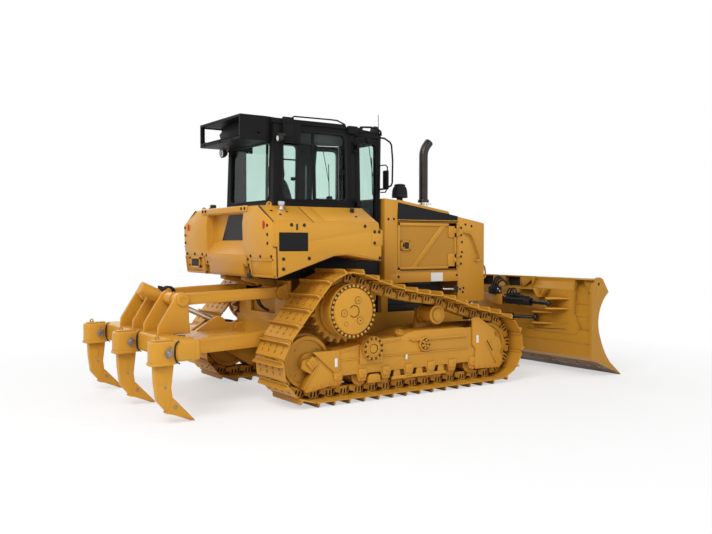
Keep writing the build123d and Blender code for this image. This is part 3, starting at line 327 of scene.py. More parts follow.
def shaped(piece, operation, tool):
    applied(piece, "BOOLEAN", operation=operation, solver="EXACT", object=tool)
    dropped(tool)
    return piece


def cut(piece, *cutters):
    """Takes the cutters' shapes out of a piece."""
    return shaped(piece, "DIFFERENCE", joined(list(cutters)))


def common(piece, other):
    """Keeps what two pieces share."""
    return shaped(piece, "INTERSECT", other)


def mirrored(piece):
    """A copy of a piece on the machine's other side."""
    copy = copied(piece)
    copy.data.transform(Matrix.Scale(-1, 4, (0, 1, 0)))
    copy.data.flip_normals()
    return copy


def other_side(piece):
    """Puts a piece on the other side instead."""
    turned_over = mirrored(piece)
    dropped(piece)
    return turned_over


def on_both_sides(pieces):
    """The pieces joined with their mirror images."""
    one = joined(pieces)
    return joined([one, mirrored(one)])


def shift(x=0.0, y=0.0, z=0.0):
    return Matrix.Translation((x, y, z))


def to_axis(place, axis):
    """Takes what is modelled upright at the rear idler's axle to a place, its top along axis."""
    return Matrix.Translation(place) @ Vector(axis).to_track_quat("Z", "Y").to_matrix().to_4x4()


def bolt_heads(places, axis, radius=0.012, height=0.009, washer=1.35):
    """Hexagon heads on washers at places, all standing along one axis."""
    head = bar((0, 0, 0), (0, 0, height), radius, 6, radius * 0.16)
    disc = turned_part([(0, -0.002), (radius * washer, -0.002), (radius * washer, height * 0.22),
        (0, height * 0.22)], (0, 0, 0), UP, 12)
    return copies(joined([head, disc]), [to_axis(place, axis) for place in places])


def button_heads(places, axis, radius=0.012, height=0.006):
    """Low domed heads."""
    dome = turned_part([(0, -0.001), (radius, -0.001), (radius, height * 0.3),
        (radius * 0.72, height * 0.85), (0, height)], (0, 0, 0), UP, 10)
    return copies(dome, [to_axis(place, axis) for place in places])


def ring_of(centre, radius, count, start=0.0):
    """Places round a circle in the X, Z plane: centre is x, y, z."""
    places = []
    for i in range(count):
        turn = math.radians(start + 360 * i / count)
        places.append((centre[0] + radius * math.cos(turn), centre[1], centre[2] + radius * math.sin(turn)))
    return places


def in_row(start, end, count):
    """Places evenly from start to end."""
    a, b = Vector(start), Vector(end)
    return [tuple(a.lerp(b, i / (count - 1))) for i in range(count)]


def finished(piece, name, finish, slot, body, *nodes):
    """Names a piece, gives it its finish, and says what it rides on and which nodes it stands for."""
    piece.name = name
    piece.data.name = name
    piece.data.materials.clear()
    piece.data.materials.append(PAINTS[finish])
    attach(piece, body)
    if nodes:
        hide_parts(*nodes)
    return piece


def node_copy(node):
    """A merged copy of a CAD node's mesh, its flat faces made whole."""
    source = frame["nodes"][node]
    piece = bpy.data.objects.new(node + "_copy", source.data.copy())
    bpy.context.scene.collection.objects.link(piece)
    with editing(piece):
        bpy.ops.mesh.remove_doubles(threshold=MERGE)
        bpy.ops.mesh.dissolve_limited(angle_limit=math.radians(1))
    return piece


def eased(node, name, finish, slot, width, segments=2):
    """A copy of a node with its edges rounded, in place of the node."""
    piece = rounded(node_copy(node), width, segments, 32)
    return finished(piece, name, finish, slot, frame["nodes"][node]["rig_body"], node)


# Finishes

class Value:
    """A number that changes over a surface; arithmetic on it adds Math nodes."""

    def __init__(self, finish, socket):
        self.finish = finish
        self.socket = socket

    def maths(self, operation, *others):
        node = self.finish.material.node_tree.nodes.new("ShaderNodeMath")
        node.operation = operation
        for socket, value in zip(node.inputs, others):
            self.finish.feed(socket, value)
        return Value(self.finish, node.outputs[0])

    def __add__(self, other):
        return self.maths("ADD", self, other)

    def __radd__(self, other):
        return self.maths("ADD", other, self)

    def __sub__(self, other):
        return self.maths("SUBTRACT", self, other)

    def __rsub__(self, other):
        return self.maths("SUBTRACT", other, self)

    def __mul__(self, other):
        return self.maths("MULTIPLY", self, other)

    def __rmul__(self, other):
        return self.maths("MULTIPLY", other, self)


class Finish:
    """A procedural material being made."""

    def __init__(self, name):
        self.material = bpy.data.materials.new(name)
        self.material.use_nodes = True
        self.shader = self.material.node_tree.nodes["Principled BSDF"]
        self.place = self.node("ShaderNodeTexCoord").outputs["Object"]

    def feed(self, socket, value):
        if isinstance(value, Value):
            value = value.socket
        if isinstance(value, bpy.types.NodeSocket):
            self.material.node_tree.links.new(value, socket)
        else:
            socket.default_value = value

    def node(self, kind, settings=None, **values):
        """A node of a type, its settings set first, then its sockets' values or links."""
        node = self.material.node_tree.nodes.new(kind)
        for name, value in (settings or {}).items():
            setattr(node, name, value)
        for name, value in values.items():
            self.feed(node.inputs[name.replace("_", " ")], value)
        return node

    def noise(self, scale, detail):
        node = self.node("ShaderNodeTexNoise", Vector=self.place, Scale=scale, Detail=detail, Roughness=0.5)
        return Value(self, node.outputs["Fac"])

    def step(self, value, low, high):
        """0 below low, 1 above high, and even between."""
        node = self.node("ShaderNodeMapRange", {"clamp": True}, Value=value)
        node.inputs["From Min"].default_value = low
        node.inputs["From Max"].default_value = high
        return Value(self, node.outputs[0])

    def mixed(self, share, first, second):
        node = self.material.node_tree.nodes.new("ShaderNodeMix")
        node.data_type = "RGBA"
        self.feed(node.inputs[0], share)
        self.feed(node.inputs[6], first)
        self.feed(node.inputs[7], second)
        return node.outputs[2]

    def hollows(self, reach):
        """1 in the open, towards 0 in corners."""
        node = self.node("ShaderNodeAmbientOcclusion", {"samples": 8, "only_local": False}, Distance=reach)
        return Value(self, node.outputs["AO"])

    def bumpy(self, height, strength, distance):
        bump = self.node("ShaderNodeBump", Height=height, Strength=strength, Distance=distance)
        self.feed(self.shader.inputs["Normal"], bump.outputs[0])

    def set(self, **values):
        for name, value in values.items():
            self.feed(self.shader.inputs[name.replace("_", " ")], value)
        return self.material


def shade(colour, factor):
    return (colour[0] * factor, colour[1] * factor, colour[2] * factor, 1)


def yellow_paint(colour, name="yellow_paint", corner_shade=0.35, rough=0.34, reach=0.06):
    finish = Finish(name)
    broad = finish.noise(1.6, 3)
    fine = finish.noise(260, 2)
    # Painted shade: in corners, creases and between parts, found by ambient occlusion within reach, the
    # colour darkens towards brown-black, as much as the third argument says.
    corner = 1 - finish.step(finish.hollows(reach), 0.25, 0.95)
    base = finish.mixed(finish.step(broad, 0.35, 0.7), shade(colour, 0.97), shade(colour, 1.05))
    base = finish.mixed(corner * corner_shade, base, (colour[0] * 0.24, colour[1] * 0.2, colour[2] * 0.2, 1))
    finish.bumpy(fine, 0.06, 0.002)
    finish.set(Specular_IOR_Level=0.22)
    return finish.set(Base_Color=base, Roughness=rough + broad * 0.12, Coat_Weight=0.05,
        Coat_Roughness=0.12)


def black_paint(colour):
    finish = Finish("black_paint")
    broad = finish.noise(2.2, 3)
    base = finish.mixed(finish.step(broad, 0.3, 0.75), colour, shade(colour, 1.6))
    finish.bumpy(finish.noise(300, 2), 0.05, 0.002)
    finish.set(Specular_IOR_Level=0.07)
    return finish.set(Base_Color=base, Roughness=0.42 + broad * 0.15)


def dark_works(colour, name="dark_works", rough=0.5):
    finish = Finish(name)
    broad = finish.noise(3, 3)
    base = finish.mixed(finish.step(broad, 0.3, 0.7), colour, shade(colour, 2.2))
    finish.bumpy(finish.noise(90, 3), 0.25, 0.003)
    finish.set(Specular_IOR_Level=0.15)
    return finish.set(Base_Color=base, Roughness=rough + broad * 0.25)


def bare_steel(colour, name="bare_steel", rough=0.3):
    finish = Finish(name)
    broad = finish.noise(14, 3)
    base = finish.mixed(finish.step(broad, 0.3, 0.7), shade(colour, 0.7), colour)
    return finish.set(Base_Color=base, Metallic=0.9, Roughness=rough + broad * 0.15)


def plain_plate(colour, name, rough=0.3):
    """A blank plate or a lamp's lens."""
    finish = Finish(name)
    broad = finish.noise(9, 2)
    base = finish.mixed(broad, shade(colour, 0.9), colour)
    finish.set(Specular_IOR_Level=0.12)
    return finish.set(Base_Color=base, Roughness=rough + broad * 0.05)


def pane(colour):
    finish = Finish("pane")
    broad = finish.noise(1.5, 2)
    base = finish.mixed(finish.step(broad, 0.3, 0.7), colour, shade(colour, 1.1))
    finish.set(Transmission_Weight=1.0, IOR=1.15)
    return finish.set(Base_Color=base, Roughness=0.015)


def seat_cloth(colour):
    finish = Finish("seat_cloth")
    weave = finish.noise(700, 2)
    base = finish.mixed(weave, shade(colour, 0.6), shade(colour, 1.5))
    finish.bumpy(weave, 0.3, 0.001)
    return finish.set(Base_Color=base, Roughness=0.8 + weave * 0.1)


PAINTS = {}


class DOZER_OT_finishes(bpy.types.Operator):
    """Makes the finishes that the pieces share"""
    bl_idname = "dozer.finishes"
    bl_label = "Finishes"

    def execute(self, context):
        paint = context.scene.dozer.paint
        yellow = tuple(paint.yellow)
        PAINTS.update(
            yellow=yellow_paint(yellow),
            works=yellow_paint(shade(yellow, 0.95), "yellow_works", 0.75, 0.42, 0.1),
            # The engine doors' recessed fields: the yellow darkened to 0.84, painted shade for their
            # recess.
            field=yellow_paint(shade(yellow, 0.84), "field_paint", 0.6, 0.4, 0.08),
            # The blade's board: the yellow darkened to 0.8, painted shade for its shaded back.
            blade=yellow_paint(shade(yellow, 0.8), "shaded_blade_paint", 0.45, 0.36, 0.08),
            links=yellow_paint(shade(yellow, 0.98), "link_paint", 0.45, 0.4, 0.04),
            # Dark brown painted shadow for the gaps round the drive covers, plugs, pivot caps, recoil ports
            # and the guard's slot.
            seam=yellow_paint((0.07, 0.036, 0.01, 1), "seam_paint", 0.5, 0.6, 0.03),
            edge=yellow_paint((0.3, 0.175, 0.075, 1), "worn_edge", 0.7, 0.5, 0.08),
            black=black_paint(tuple(paint.black)),
            dark=dark_works(tuple(paint.dark)),
            rubber=dark_works((0.012, 0.012, 0.013, 1), "rubber", 0.4),
            chrome=bare_steel((0.75, 0.75, 0.76, 1), "chrome", 0.06),
            steel=bare_steel(tuple(paint.steel)),
            # Dark steel of the exhaust stack; the angle and tilt cylinders' chrome rods take it too, as
            # painted shade for the shadow they stand in.
            stack=bare_steel((0.05, 0.045, 0.042, 1), "stack_steel", 0.3),
            glass=pane(tuple(paint.glass)),
            cloth=seat_cloth((0.02, 0.02, 0.022, 1)),
            lining=plain_plate((0.06, 0.056, 0.06, 1), "lining", 0.5),
            blank_black=plain_plate((0.01, 0.01, 0.01, 1), "blank_black", 0.2),
            blank_white=plain_plate((0.85, 0.87, 0.85, 1), "blank_white", 0.3),
            red_lens=plain_plate((0.55, 0.02, 0.012, 1), "red_lens", 0.12),
            clear_lens=plain_plate((0.7, 0.72, 0.74, 1), "clear_lens", 0.08),
        )
        return {"FINISHED"}


# Tracks

def on_circle(centre, radius, angle):
    turn = math.radians(angle)
    return (centre[0] + radius * math.cos(turn), centre[1] + radius * math.sin(turn))


def arc_through(start, middle, end, steps=40):
    """Points on the circle through three x, z points, from the first to the last."""
    (ax, az), (bx, bz), (cx, cz) = start, middle, end
    d = 2 * (ax * (bz - cz) + bx * (cz - az) + cx * (az - bz))
    a, b, c = ax * ax + az * az, bx * bx + bz * bz, cx * cx + cz * cz
    x = (a * (bz - cz) + b * (cz - az) + c * (az - bz)) / d
    z = (a * (cx - bx) + b * (ax - cx) + c * (bx - ax)) / d
    radius = math.hypot(ax - x, az - z)
    first = math.atan2(az - z, ax - x)
    turns = [(math.atan2(p[1] - z, p[0] - x) - first) % (2 * math.pi) for p in (middle, end)]
    whole = turns[1] if turns[0] < turns[1] else turns[1] - 2 * math.pi
    return [(x + radius * math.cos(first + whole * i / steps),
        z + radius * math.sin(first + whole * i / steps)) for i in range(steps + 1)]


def hanging(start, end, sag):
    middle = ((start[0] + end[0]) / 2, (start[1] + end[1]) / 2 - sag)
    return arc_through(start, middle, end)


def evenly(points, count):
    """Places at equal runs along a closed line of points."""
    lengths = [0.0]
    for a, b in zip(points, points[1:]):
        lengths.append(lengths[-1] + math.hypot(b[0] - a[0], b[1] - a[1]))
    places, i = [], 0
    for n in range(count):
        want = lengths[-1] * n / count
        while lengths[i + 1] < want:
            i += 1
        share = (want - lengths[i]) / (lengths[i + 1] - lengths[i])
        a, b = points[i], points[i + 1]
        places.append((a[0] + share * (b[0] - a[0]), a[1] + share * (b[1] - a[1])))
    return places


def pin_places(count, sag):
    """The track pins' x, z places, once round the loop from under the rear idler."""
    rear, front = (0.0, IDLER_Z), (WHEELBASE, IDLER_Z)
    idler_r, sprocket_r, carrier = 0.328, 0.348, (CARRIER[0], 1.017)
    front_top = on_circle(front, idler_r, 76)
    sprocket_front = on_circle(SPROCKET, sprocket_r, 72)
    sprocket_rear = on_circle(SPROCKET, sprocket_r, 138)
    line = [(0.0, PIN_Z)]
    line += arc_through((WHEELBASE, PIN_Z), on_circle(front, idler_r, 0), front_top, 60)
    line += hanging(front_top, carrier, 0.03)[1:]
    line += hanging(carrier, sprocket_front, sag)[1:]
    line += arc_through(sprocket_front, on_circle(SPROCKET, sprocket_r, 105), sprocket_rear)[1:]
    line += arc_through(on_circle(rear, idler_r, 138), on_circle(rear, idler_r, 200), (0.0, PIN_Z), 60)
    return evenly(line, count)


def rail_half(x0, x1, y0, y1):
    """Half of a link's plate: its running face above, its seat for the shoe below, an eye at one end."""
    low, high, seat = -0.018, 0.038, -0.06
    if x0 < 0:
        points = [(x0, low), (x0, 0.022), (x0 + 0.014, high), (x1, high), (x1, seat), (0.036, seat),
            (0.024, -0.034)]
    else:
        points = [(x0, seat), (x0, high), (x1 - 0.014, high), (x1, 0.022), (x1, low), (0.17, -0.034),
            (0.158, seat)]
    return plate(points, "Y", y0, y1, 0.003, 1)


def link_pattern(grouser, pin_depth):
    """One shoe with its pair of links, its pin and bolts, on the ground run, its pin at the origin."""
    face, under = -pin_depth, -pin_depth + 0.012
    profile = [(-0.016, under), (0.178, under), (0.191, under + 0.012), (0.212, under + 0.012),
        (0.212, under + 0.002), (0.194, under + 0.001), (0.183, face), (0.039, face),
        (0.033, face - grouser), (0.021, face - grouser), (0.015, face), (-0.016, face)]
    shoe = plate(profile, "Y", -0.305, 0.305, 0.0)
    tip = face - grouser
    for side in (-1, 1):
        for place, away in (((X0, side * 0.285, tip), (0, side, -1)),
                ((X0 - 0.016, side * 0.285, 0), (-1, side, 0)),
                ((X0 + 0.212, side * 0.27, 0), (1, side * 0.6, 0))):
            with editing(shoe):
                bpy.ops.mesh.bisect(plane_co=place, plane_no=away, use_fill=True, clear_outer=True)
    notches = [slab(0.197, 0.23, side * 0.068 - 0.018, side * 0.068 + 0.018, -0.1, 0.0, 0)
        for side in (-1, 1)]
    pieces = [rounded(cut(shoe, *notches), 0.0018, 1)]
    heads = [(x, side * 0.068, face) for side in (-1, 1) for x in (0.068, 0.122)]
    pieces.append(bolt_heads(heads, (0, 0, -1), 0.0135, 0.01))
    under = [(x, side * 0.205, face) for side in (-1, 1) for x in (0.068, 0.122)]
    pieces.append(bolt_heads(under, (0, 0, -1), 0.012, 0.008))
    links, link_window_shadows = [bar((0, -0.045, 0), (0, 0.045, 0), 0.03, 20)], []
    for side in (-1, 1):
        links += [
            rail_half(-0.03, 0.125, *sorted((side * 0.068, side * 0.093))),
            rail_half(0.065, 0.22, *sorted((side * 0.042, side * 0.0685))),
            turned_part([(0, 0.066), (0.026, 0.066), (0.028, 0.07), (0.028, 0.096), (0.024, 0.099),
                (0.017, 0.099), (0.016, 0.096), (0, 0.096)], (0, 0, 0), (0, side, 0), 20),
        ]
        # Dark pieces on the links' outer faces: painted shade where the links' windows are.
        for x in (0.046, 0.088):
            link_window_shadows.append(plate([(x - 0.004, -0.046), (x + 0.014, -0.046), (x + 0.02, -0.03),
                (x + 0.022, 0.0), (x + 0.014, 0.012), (x + 0.002, 0.006)], "Y",
                *sorted((side * 0.09, side * 0.0942)), 0.001, 1))
        link_window_shadows.append(plate([(0.136, -0.044), (0.152, -0.044), (0.16, 0.008), (0.142, 0.01)], "Y",
            *sorted((side * 0.066, side * 0.0697)), 0.001, 1))
    return joined(pieces), joined(links), joined(link_window_shadows)


class DOZER_OT_tracks(bpy.types.Operator):
    """Lays the shoes and links of both tracks, one link modelled and copied round the loop"""
    bl_idname = "dozer.tracks"
    bl_label = "Tracks"

    def execute(self, context):
        settings = context.scene.dozer.track
        pins = pin_places(settings.shoe_count, settings.sag)
        places = []
        for pin, after in zip(pins, pins[1:] + pins[:1]):
            lean = math.atan2(after[1] - pin[1], after[0] - pin[0])
            places.append(shift(pin[0], 0, pin[1]) @ Matrix.Rotation(-lean, 4, "Y"))
        for pattern, kind in zip(link_pattern(settings.grouser, settings.pin_depth),
                ("shoes", "links", "link_window_shadows")):
            loop = copies(pattern, places)
            for piece, side, name in ((loop, -1, "right"), (copied(loop), 1, "left")):
                piece.data.transform(shift(0, side * HALF_GAUGE))
                nodes = (f"track_{name}",) if kind == "shoes" else ()
                # The link windows' pieces take the dark rubber finish as painted shade.
                paint = {"shoes": "works", "links": "links", "link_window_shadows": "rubber"}[kind]
                finished(piece, f"track_{name}_{kind}", paint, "track_steel", "machine", *nodes)
        return {"FINISHED"}


def idler_wheel(x):
    """A dished idler with its centre flange, one side's."""
    tread, flange = 0.2745, 0.2995
    rim = [(tread, 0.1), (tread - 0.006, 0.105), (0.238, 0.105), (0.232, 0.098), (0.226, 0.088),
        (0.14, 0.088), (0.11, 0.096), (0.098, 0.13), (0.086, 0.136), (0.07, 0.136), (0.064, 0.149),
        (0, 0.149)]
    half = [(flange, 0.0), (flange, 0.034), (flange - 0.006, 0.04), (tread, 0.042)] + rim
    other = [(r, -h) for r, h in reversed(half)]
    return turned_part(other[:-1] + half, (x, -HALF_GAUGE, IDLER_Z), RIGHT, 72)


def roller_wheel(x, z, radius, y0, y1):
    """A double-flanged roller on its shaft, one side's; y0 and y1 are the shaft's ends."""
    half = [(radius - 0.004, 0.0), (radius, 0.03), (radius, 0.1045), (radius + 0.01, 0.106),
        (radius + 0.014, 0.11), (radius + 0.013, 0.123), (radius + 0.006, 0.127), (0.066, 0.127),
        (0.06, 0.132), (0.052, 0.15)]
    outer = half + [(0.04, 0.152), (0.04, y1 - HALF_GAUGE), (0, y1 - HALF_GAUGE)]
    inner = half + [(0.04, 0.152), (0.04, HALF_GAUGE - y0), (0, HALF_GAUGE - y0)]
    profile = [(r, -h) for r, h in reversed(inner)][:-1] + outer
    return turned_part(profile, (x, -HALF_GAUGE, z), RIGHT, 36)


class DOZER_OT_wheels(bpy.types.Operator):
    """Turns the idlers, the bottom rollers and the carrier rollers"""
    bl_idname = "dozer.wheels"
    bl_label = "Idlers and rollers"

    def execute(self, context):
        pieces = [idler_wheel(0.0), idler_wheel(WHEELBASE)]
        for x in ROLLER_XS:
            pieces.append(roller_wheel(x, ROLLER_Z, 0.0895, 0.78, 1.1))
        pieces.append(roller_wheel(*CARRIER, 0.0995, 0.76, HALF_GAUGE + 0.15))
        face = -HALF_GAUGE - 0.088
        for x in (0.0, WHEELBASE):
            pieces.append(bolt_heads(ring_of((x, face, IDLER_Z), 0.185, 4, 45), RIGHT, 0.011, 0.008))
        x, z = CARRIER
        cap_y = -HALF_GAUGE - 0.127
        pieces += [
            turned_part([(0, 0), (0.074, 0), (0.074, 0.014), (0.062, 0.021), (0.048, 0.0225), (0, 0.0225)],
                (x, cap_y, z), RIGHT, 32),
            button_heads(ring_of((x, cap_y - 0.0185, z), 0.06, 6), RIGHT, 0.006, 0.004),
        ]
        wheels = on_both_sides(pieces)
        finished(wheels, "idlers_and_rollers", "works", "track_steel", "machine", "track_wheels")
        return {"FINISHED"}


# Drives and roller frames

def sprocket_ring():
    """The sprocket's toothed ring, its roots rounded."""
    count, root, tip = 23, 0.316, 0.362
    points = []
    for i in range(count):
        for share, radius in ((-0.36, root), (-0.27, root + 0.004), (-0.17, tip - 0.012), (-0.09, tip),
                (0.09, tip), (0.17, tip - 0.012), (0.27, root + 0.004), (0.36, root), (0.5, root - 0.003)):
            points.append(on_circle(SPROCKET, radius, 360 * (i + share) / count))
    return plate(points, "Y", -HALF_GAUGE - 0.034, -HALF_GAUGE + 0.034, 0.003, 1)


def flat_ring(place, inner, outer):
    """A thin ring, or a disc when inner is 0, facing outwards on the right."""
    return turned_part([(inner, 0), (outer, 0), (outer, 0.0025), (inner, 0.0025)], place, RIGHT, 48)


def drive_cover():
    """The stepped drum outside the sprocket, with the round cover on it."""
    x, z = SPROCKET
    face = SHOE_OUT
    profile = [(0, 0.36), (0.255, 0.36), (0.255, 0.398), (0.25, 0.403), (0.218, 0.41), (0.212, 0.43),
        (0.212, 0.8), (0.22, 0.815), (0.262, 0.825), (0.262, 0.975), (0.274, 0.985), (0.274, 1.03),
        (0.266, 1.036), (0.266, 1.182), (0.272, 1.19), (0.287, 1.192), (0.289, 1.196), (0.289, 1.226),
        (0.284, 1.231), (0.25, 1.232), (0.246, 1.234), (0.238, face - 0.005), (0.232, face - 0.003),
        (0, face - 0.003)]
    return turned_part(profile, (x, 0, z), RIGHT, 96)


class DOZER_OT_final_drives(bpy.types.Operator):
    """Builds the high drives: sprockets, drums, bolted covers and their plugs"""
    bl_idname = "dozer.final_drives"
    bl_label = "Final drives"

    def execute(self, context):
        x, z = SPROCKET
        face = -SHOE_OUT + 0.003
        lobe = cap(0.021, 0.028, 0.018, 0.031, (0, 0, 0), UP, 14)
        pieces = [drive_cover(), sprocket_ring()]
        pieces += [
            bolt_heads(ring_of((x, -1.23, z), 0.267, 32), RIGHT, 0.0165, 0.015, 1.15),
            bolt_heads(ring_of((x, -0.985, z), 0.272, 1), RIGHT, 0.006, 0.004),
            copies(lobe, [to_axis(place, RIGHT) for place in ring_of((x, -1.196, z), 0.27, 32)]),
            bolt_heads(ring_of((x, -HALF_GAUGE - 0.034, z), 0.292, 23, 7.8), RIGHT, 0.01, 0.008),
        ]
        plugs = [on_circle(SPROCKET, 0.125, angle) for angle in (67, 187, 307)]
        for px, pz in plugs:
            pieces.append(turned_part([(0.036, -0.001), (0.036, 0.004), (0.03, 0.007), (0.024, 0.004),
                (0.022, 0.001), (0.015, 0.002), (0.013, 0.007), (0, 0.0085)], (px, face, pz), RIGHT, 28))
        px, pz = on_circle(SPROCKET, 0.165, 232)
        pieces.append(turned_part([(0.02, -0.001), (0.02, 0.003), (0.015, 0.006), (0.01, 0.003),
            (0.004, 0.002), (0, 0.002)], (px, face, pz), RIGHT, 20))
        ridge = [(x + 0.062 * math.cos(math.radians(a)), face - 0.0005,
            z + 0.062 * math.sin(math.radians(a))) for a in range(-140, 146, 15)]
        drives = on_both_sides(pieces)
        finished(drives, "final_drive_covers", "yellow", "yellow_paint", "machine", "final_drives")
        # Dark rings, an arc and a bar painted as shadow in the gaps and slots round the cover, plugs, pivot
        # cap, recoil port and front guard.
        seams = [
            pipe(ridge, 0.0045, 8),
            turned_part([(0.249, 0), (0.286, 0), (0.286, 0.002), (0.249, 0.002)], (x, -1.2315, z), RIGHT,
                96),
        ]
        for plug_x, plug_z in plugs:
            seams.append(flat_ring((plug_x, face + 0.001, plug_z), 0.034, 0.041))
        seams.append(flat_ring((px, face + 0.001, pz), 0.018, 0.023))
        out = -FRAME_OUT
        seams += [
            flat_ring((PIVOT[0], out - 0.0545, PIVOT[1]), 0.096, 0.126),
            flat_ring((PIVOT[0], out - 0.0545, PIVOT[1]), 0.046, 0.053),
            flat_ring((RECOIL[0], out - 0.0295, RECOIL[1]), 0.02, 0.066),
            flat_ring((RECOIL[0], out - 0.0415, RECOIL[1]), 0.0, 0.013),
            bar((2.47, out - 0.02, 0.52), (2.56, out - 0.02, 0.39), 0.006, 8),
        ]
        finished(on_both_sides(seams), "cover_and_cap_seams", "seam", "yellow_paint", "machine")
        return {"FINISHED"}


def roller_frame_details():
    """What stands on a roller frame's outside, one side's."""
    out = -FRAME_OUT
    # Recoil housing on the front half, with a bead along it
    pieces = [
        plate([(1.27, 0.6), (1.3, 0.672), (1.36, 0.7), (2.1, 0.7), (2.155, 0.68), (2.165, 0.64),
            (2.165, 0.575)], "Y", out + 0.2, out - 0.012, 0.012, 3),
        bar((1.32, out - 0.01, 0.596), (2.12, out - 0.01, 0.596), 0.012, 12),
        plate([(0.345, 0.44), (2.19, 0.44), (2.19, 0.455), (0.345, 0.455)], "Y", out, out - 0.01, 0.004),
        plate([(0.36, 0.525), (1.18, 0.612), (1.18, 0.628), (0.36, 0.541)], "Y", out, out - 0.006, 0.002),
    ]
    # Pivot cap with its seat and bolts
    px, pz = PIVOT
    pieces += [
        plate([(px - 0.155, pz - 0.165), (px + 0.155, pz - 0.165), (px + 0.155, pz + 0.02),
            (px + 0.1, pz + 0.1), (px - 0.1, pz + 0.1), (px - 0.155, pz + 0.02)], "Y", out, out - 0.018,
            0.004),
        turned_part([(0, 0.0), (0.13, 0.0), (0.132, 0.004), (0.132, 0.044), (0.126, 0.05), (0.1, 0.0505),
            (0.094, 0.044), (0.07, 0.044), (0.064, 0.054), (0.05, 0.0545), (0.046, 0.047), (0, 0.047)],
            (px, out, pz), RIGHT, 48),
        bolt_heads(ring_of((px, out - 0.055, pz), 0.111, 12), RIGHT, 0.0135, 0.012),
        turned_part([(0.054, 0.0), (0.072, 0.0), (0.07, 0.008), (0.056, 0.008)], (px, out - 0.0545, pz),
            RIGHT, 40),
    ]
    # Recoil port with its notched cap
    rx, rz = RECOIL
    pieces += [
        turned_part([(0, 0.0), (0.08, 0.0), (0.082, 0.004), (0.082, 0.02), (0.076, 0.026), (0.062, 0.026),
            (0.058, 0.016), (0.02, 0.016), (0.018, 0.004), (0, 0.004)], (rx, out, rz), RIGHT, 36),
        bolt_heads(ring_of((rx, out - 0.03, rz), 0.044, 6, 20), RIGHT, 0.016, 0.012, 1.1),
        turned_part([(0, 0.0), (0.028, 0.0), (0.028, 0.012), (0, 0.012)], (rx, out - 0.0295, rz), RIGHT,
            24),
        # Filler boss on the beam's top
        turned_part([(0, 0), (0.06, 0), (0.06, 0.03), (0.054, 0.038), (0.034, 0.04), (0.03, 0.052),
            (0, 0.053)], (1.23, out + 0.1, 0.66), (0, -0.5, 1), 28),
        # Rear guards: the plate behind the idler's hub, and the lower skirt with its bolts
        plate([(0.015, 0.56), (0.345, 0.56), (0.352, 0.33), (0.275, 0.33)], "Y", out, out - 0.022, 0.004),
        plate([(0.09, 0.448), (0.262, 0.322), (0.285, 0.235), (0.27, 0.19), (-0.06, 0.14), (-0.082, 0.17)],
            "Y", out + 0.035, out - 0.004, 0.004),
        plate([(-0.075, 0.176), (0.1, 0.43), (0.085, 0.442), (-0.095, 0.182)], "Y", out + 0.1, out - 0.012,
            0.003),
        bolt_heads(in_row((0.03, out - 0.004, 0.185), (0.235, out - 0.004, 0.214), 3), RIGHT, 0.01, 0.007),
        # The rear idler's axle block
        plate([(-0.06, 0.455), (0.02, 0.52), (0.09, 0.44), (0.01, 0.372)], "Y", -1.07, out - 0.02, 0.005),
        cap(0.017, 0.006, 0.01, 0.01, (0.015, out - 0.019, 0.446), RIGHT, 16),
        # Front guard with its slot and bolts
        plate([(2.235, 0.8), (2.33, 0.815), (2.6, 0.64), (2.6, 0.56), (2.735, 0.27), (2.69, 0.18),
            (2.29, 0.19), (2.275, 0.23), (2.29, 0.43), (2.24, 0.48)], "Y", out + 0.006, out - 0.018, 0.004),
        bar((2.455, out - 0.022, 0.5), (2.625, out - 0.022, 0.235), 0.008, 8),
        turned_part([(0.022, 0), (0.022, 0.006), (0.016, 0.009), (0.009, 0.003), (0, 0.003)],
            (2.545, out - 0.018, 0.505), RIGHT, 16),
        bolt_heads(in_row((2.35, out - 0.018, 0.22), (2.62, out - 0.018, 0.212), 4), RIGHT, 0.012, 0.008),
    ]
    return pieces


def roller_hangers():
    """The blocks that hold the rollers' shafts, with their bolts, and the guards between some of them."""
    out = -FRAME_OUT
    pieces = []
    for x in ROLLER_XS:
        pieces += [
            plate([(x - 0.052, 0.335), (x - 0.052, 0.262), (x - 0.036, 0.236), (x + 0.036, 0.236),
                (x + 0.052, 0.262), (x + 0.052, 0.335)], "Y", -1.04, out - 0.014, 0.005),
            cap(0.015, 0.004, 0.008, 0.008, (x, out - 0.013, 0.29), RIGHT, 14),
        ]
    pieces.append(plate([(1.05, 0.175), (1.85, 0.175), (1.83, 0.212), (1.07, 0.212)], "Y", out + 0.03,
        out + 0.006, 0.004))
    for x in (1.13, 1.45, 1.77):
        pieces.append(plate([(x - 0.05, 0.205), (x + 0.05, 0.205), (x + 0.03, 0.33), (x - 0.03, 0.33)], "Y",
            out + 0.026, out + 0.008, 0.003))
    pieces.append(plate([(0.73, 0.165), (0.9, 0.165), (0.9, 0.235), (0.87, 0.262), (0.76, 0.262),
        (0.73, 0.235)], "Y", out + 0.05, out + 0.004, 0.006))
    return pieces


class DOZER_OT_roller_frames(bpy.types.Operator):
    """Dresses the roller frames with caps, guards, roller blocks and bolts"""
    bl_idname = "dozer.roller_frames"
    bl_label = "Roller frames"

    def execute(self, context):
        eased("roller_frames", "roller_frame_beams", "yellow", "yellow_paint", 0.006)
        details = on_both_sides(roller_frame_details() + roller_hangers())
        finished(details, "roller_frame_fittings", "yellow", "yellow_paint", "machine")
        out = -FRAME_OUT
        labels = on_both_sides([slab(0.285, 0.318, out - 0.022, out - 0.024, 0.385, 0.475, 0.002),
            slab(1.235, 1.262, out - 0.01, out - 0.012, 0.388, 0.442, 0.002),
            slab(2.3, 2.336, out - 0.018, out - 0.02, 0.5, 0.59, 0.002)])
        finished(labels, "roller_frame_blank_plates", "blank_white", "yellow_paint", "machine")
        return {"FINISHED"}


# Tank and fenders

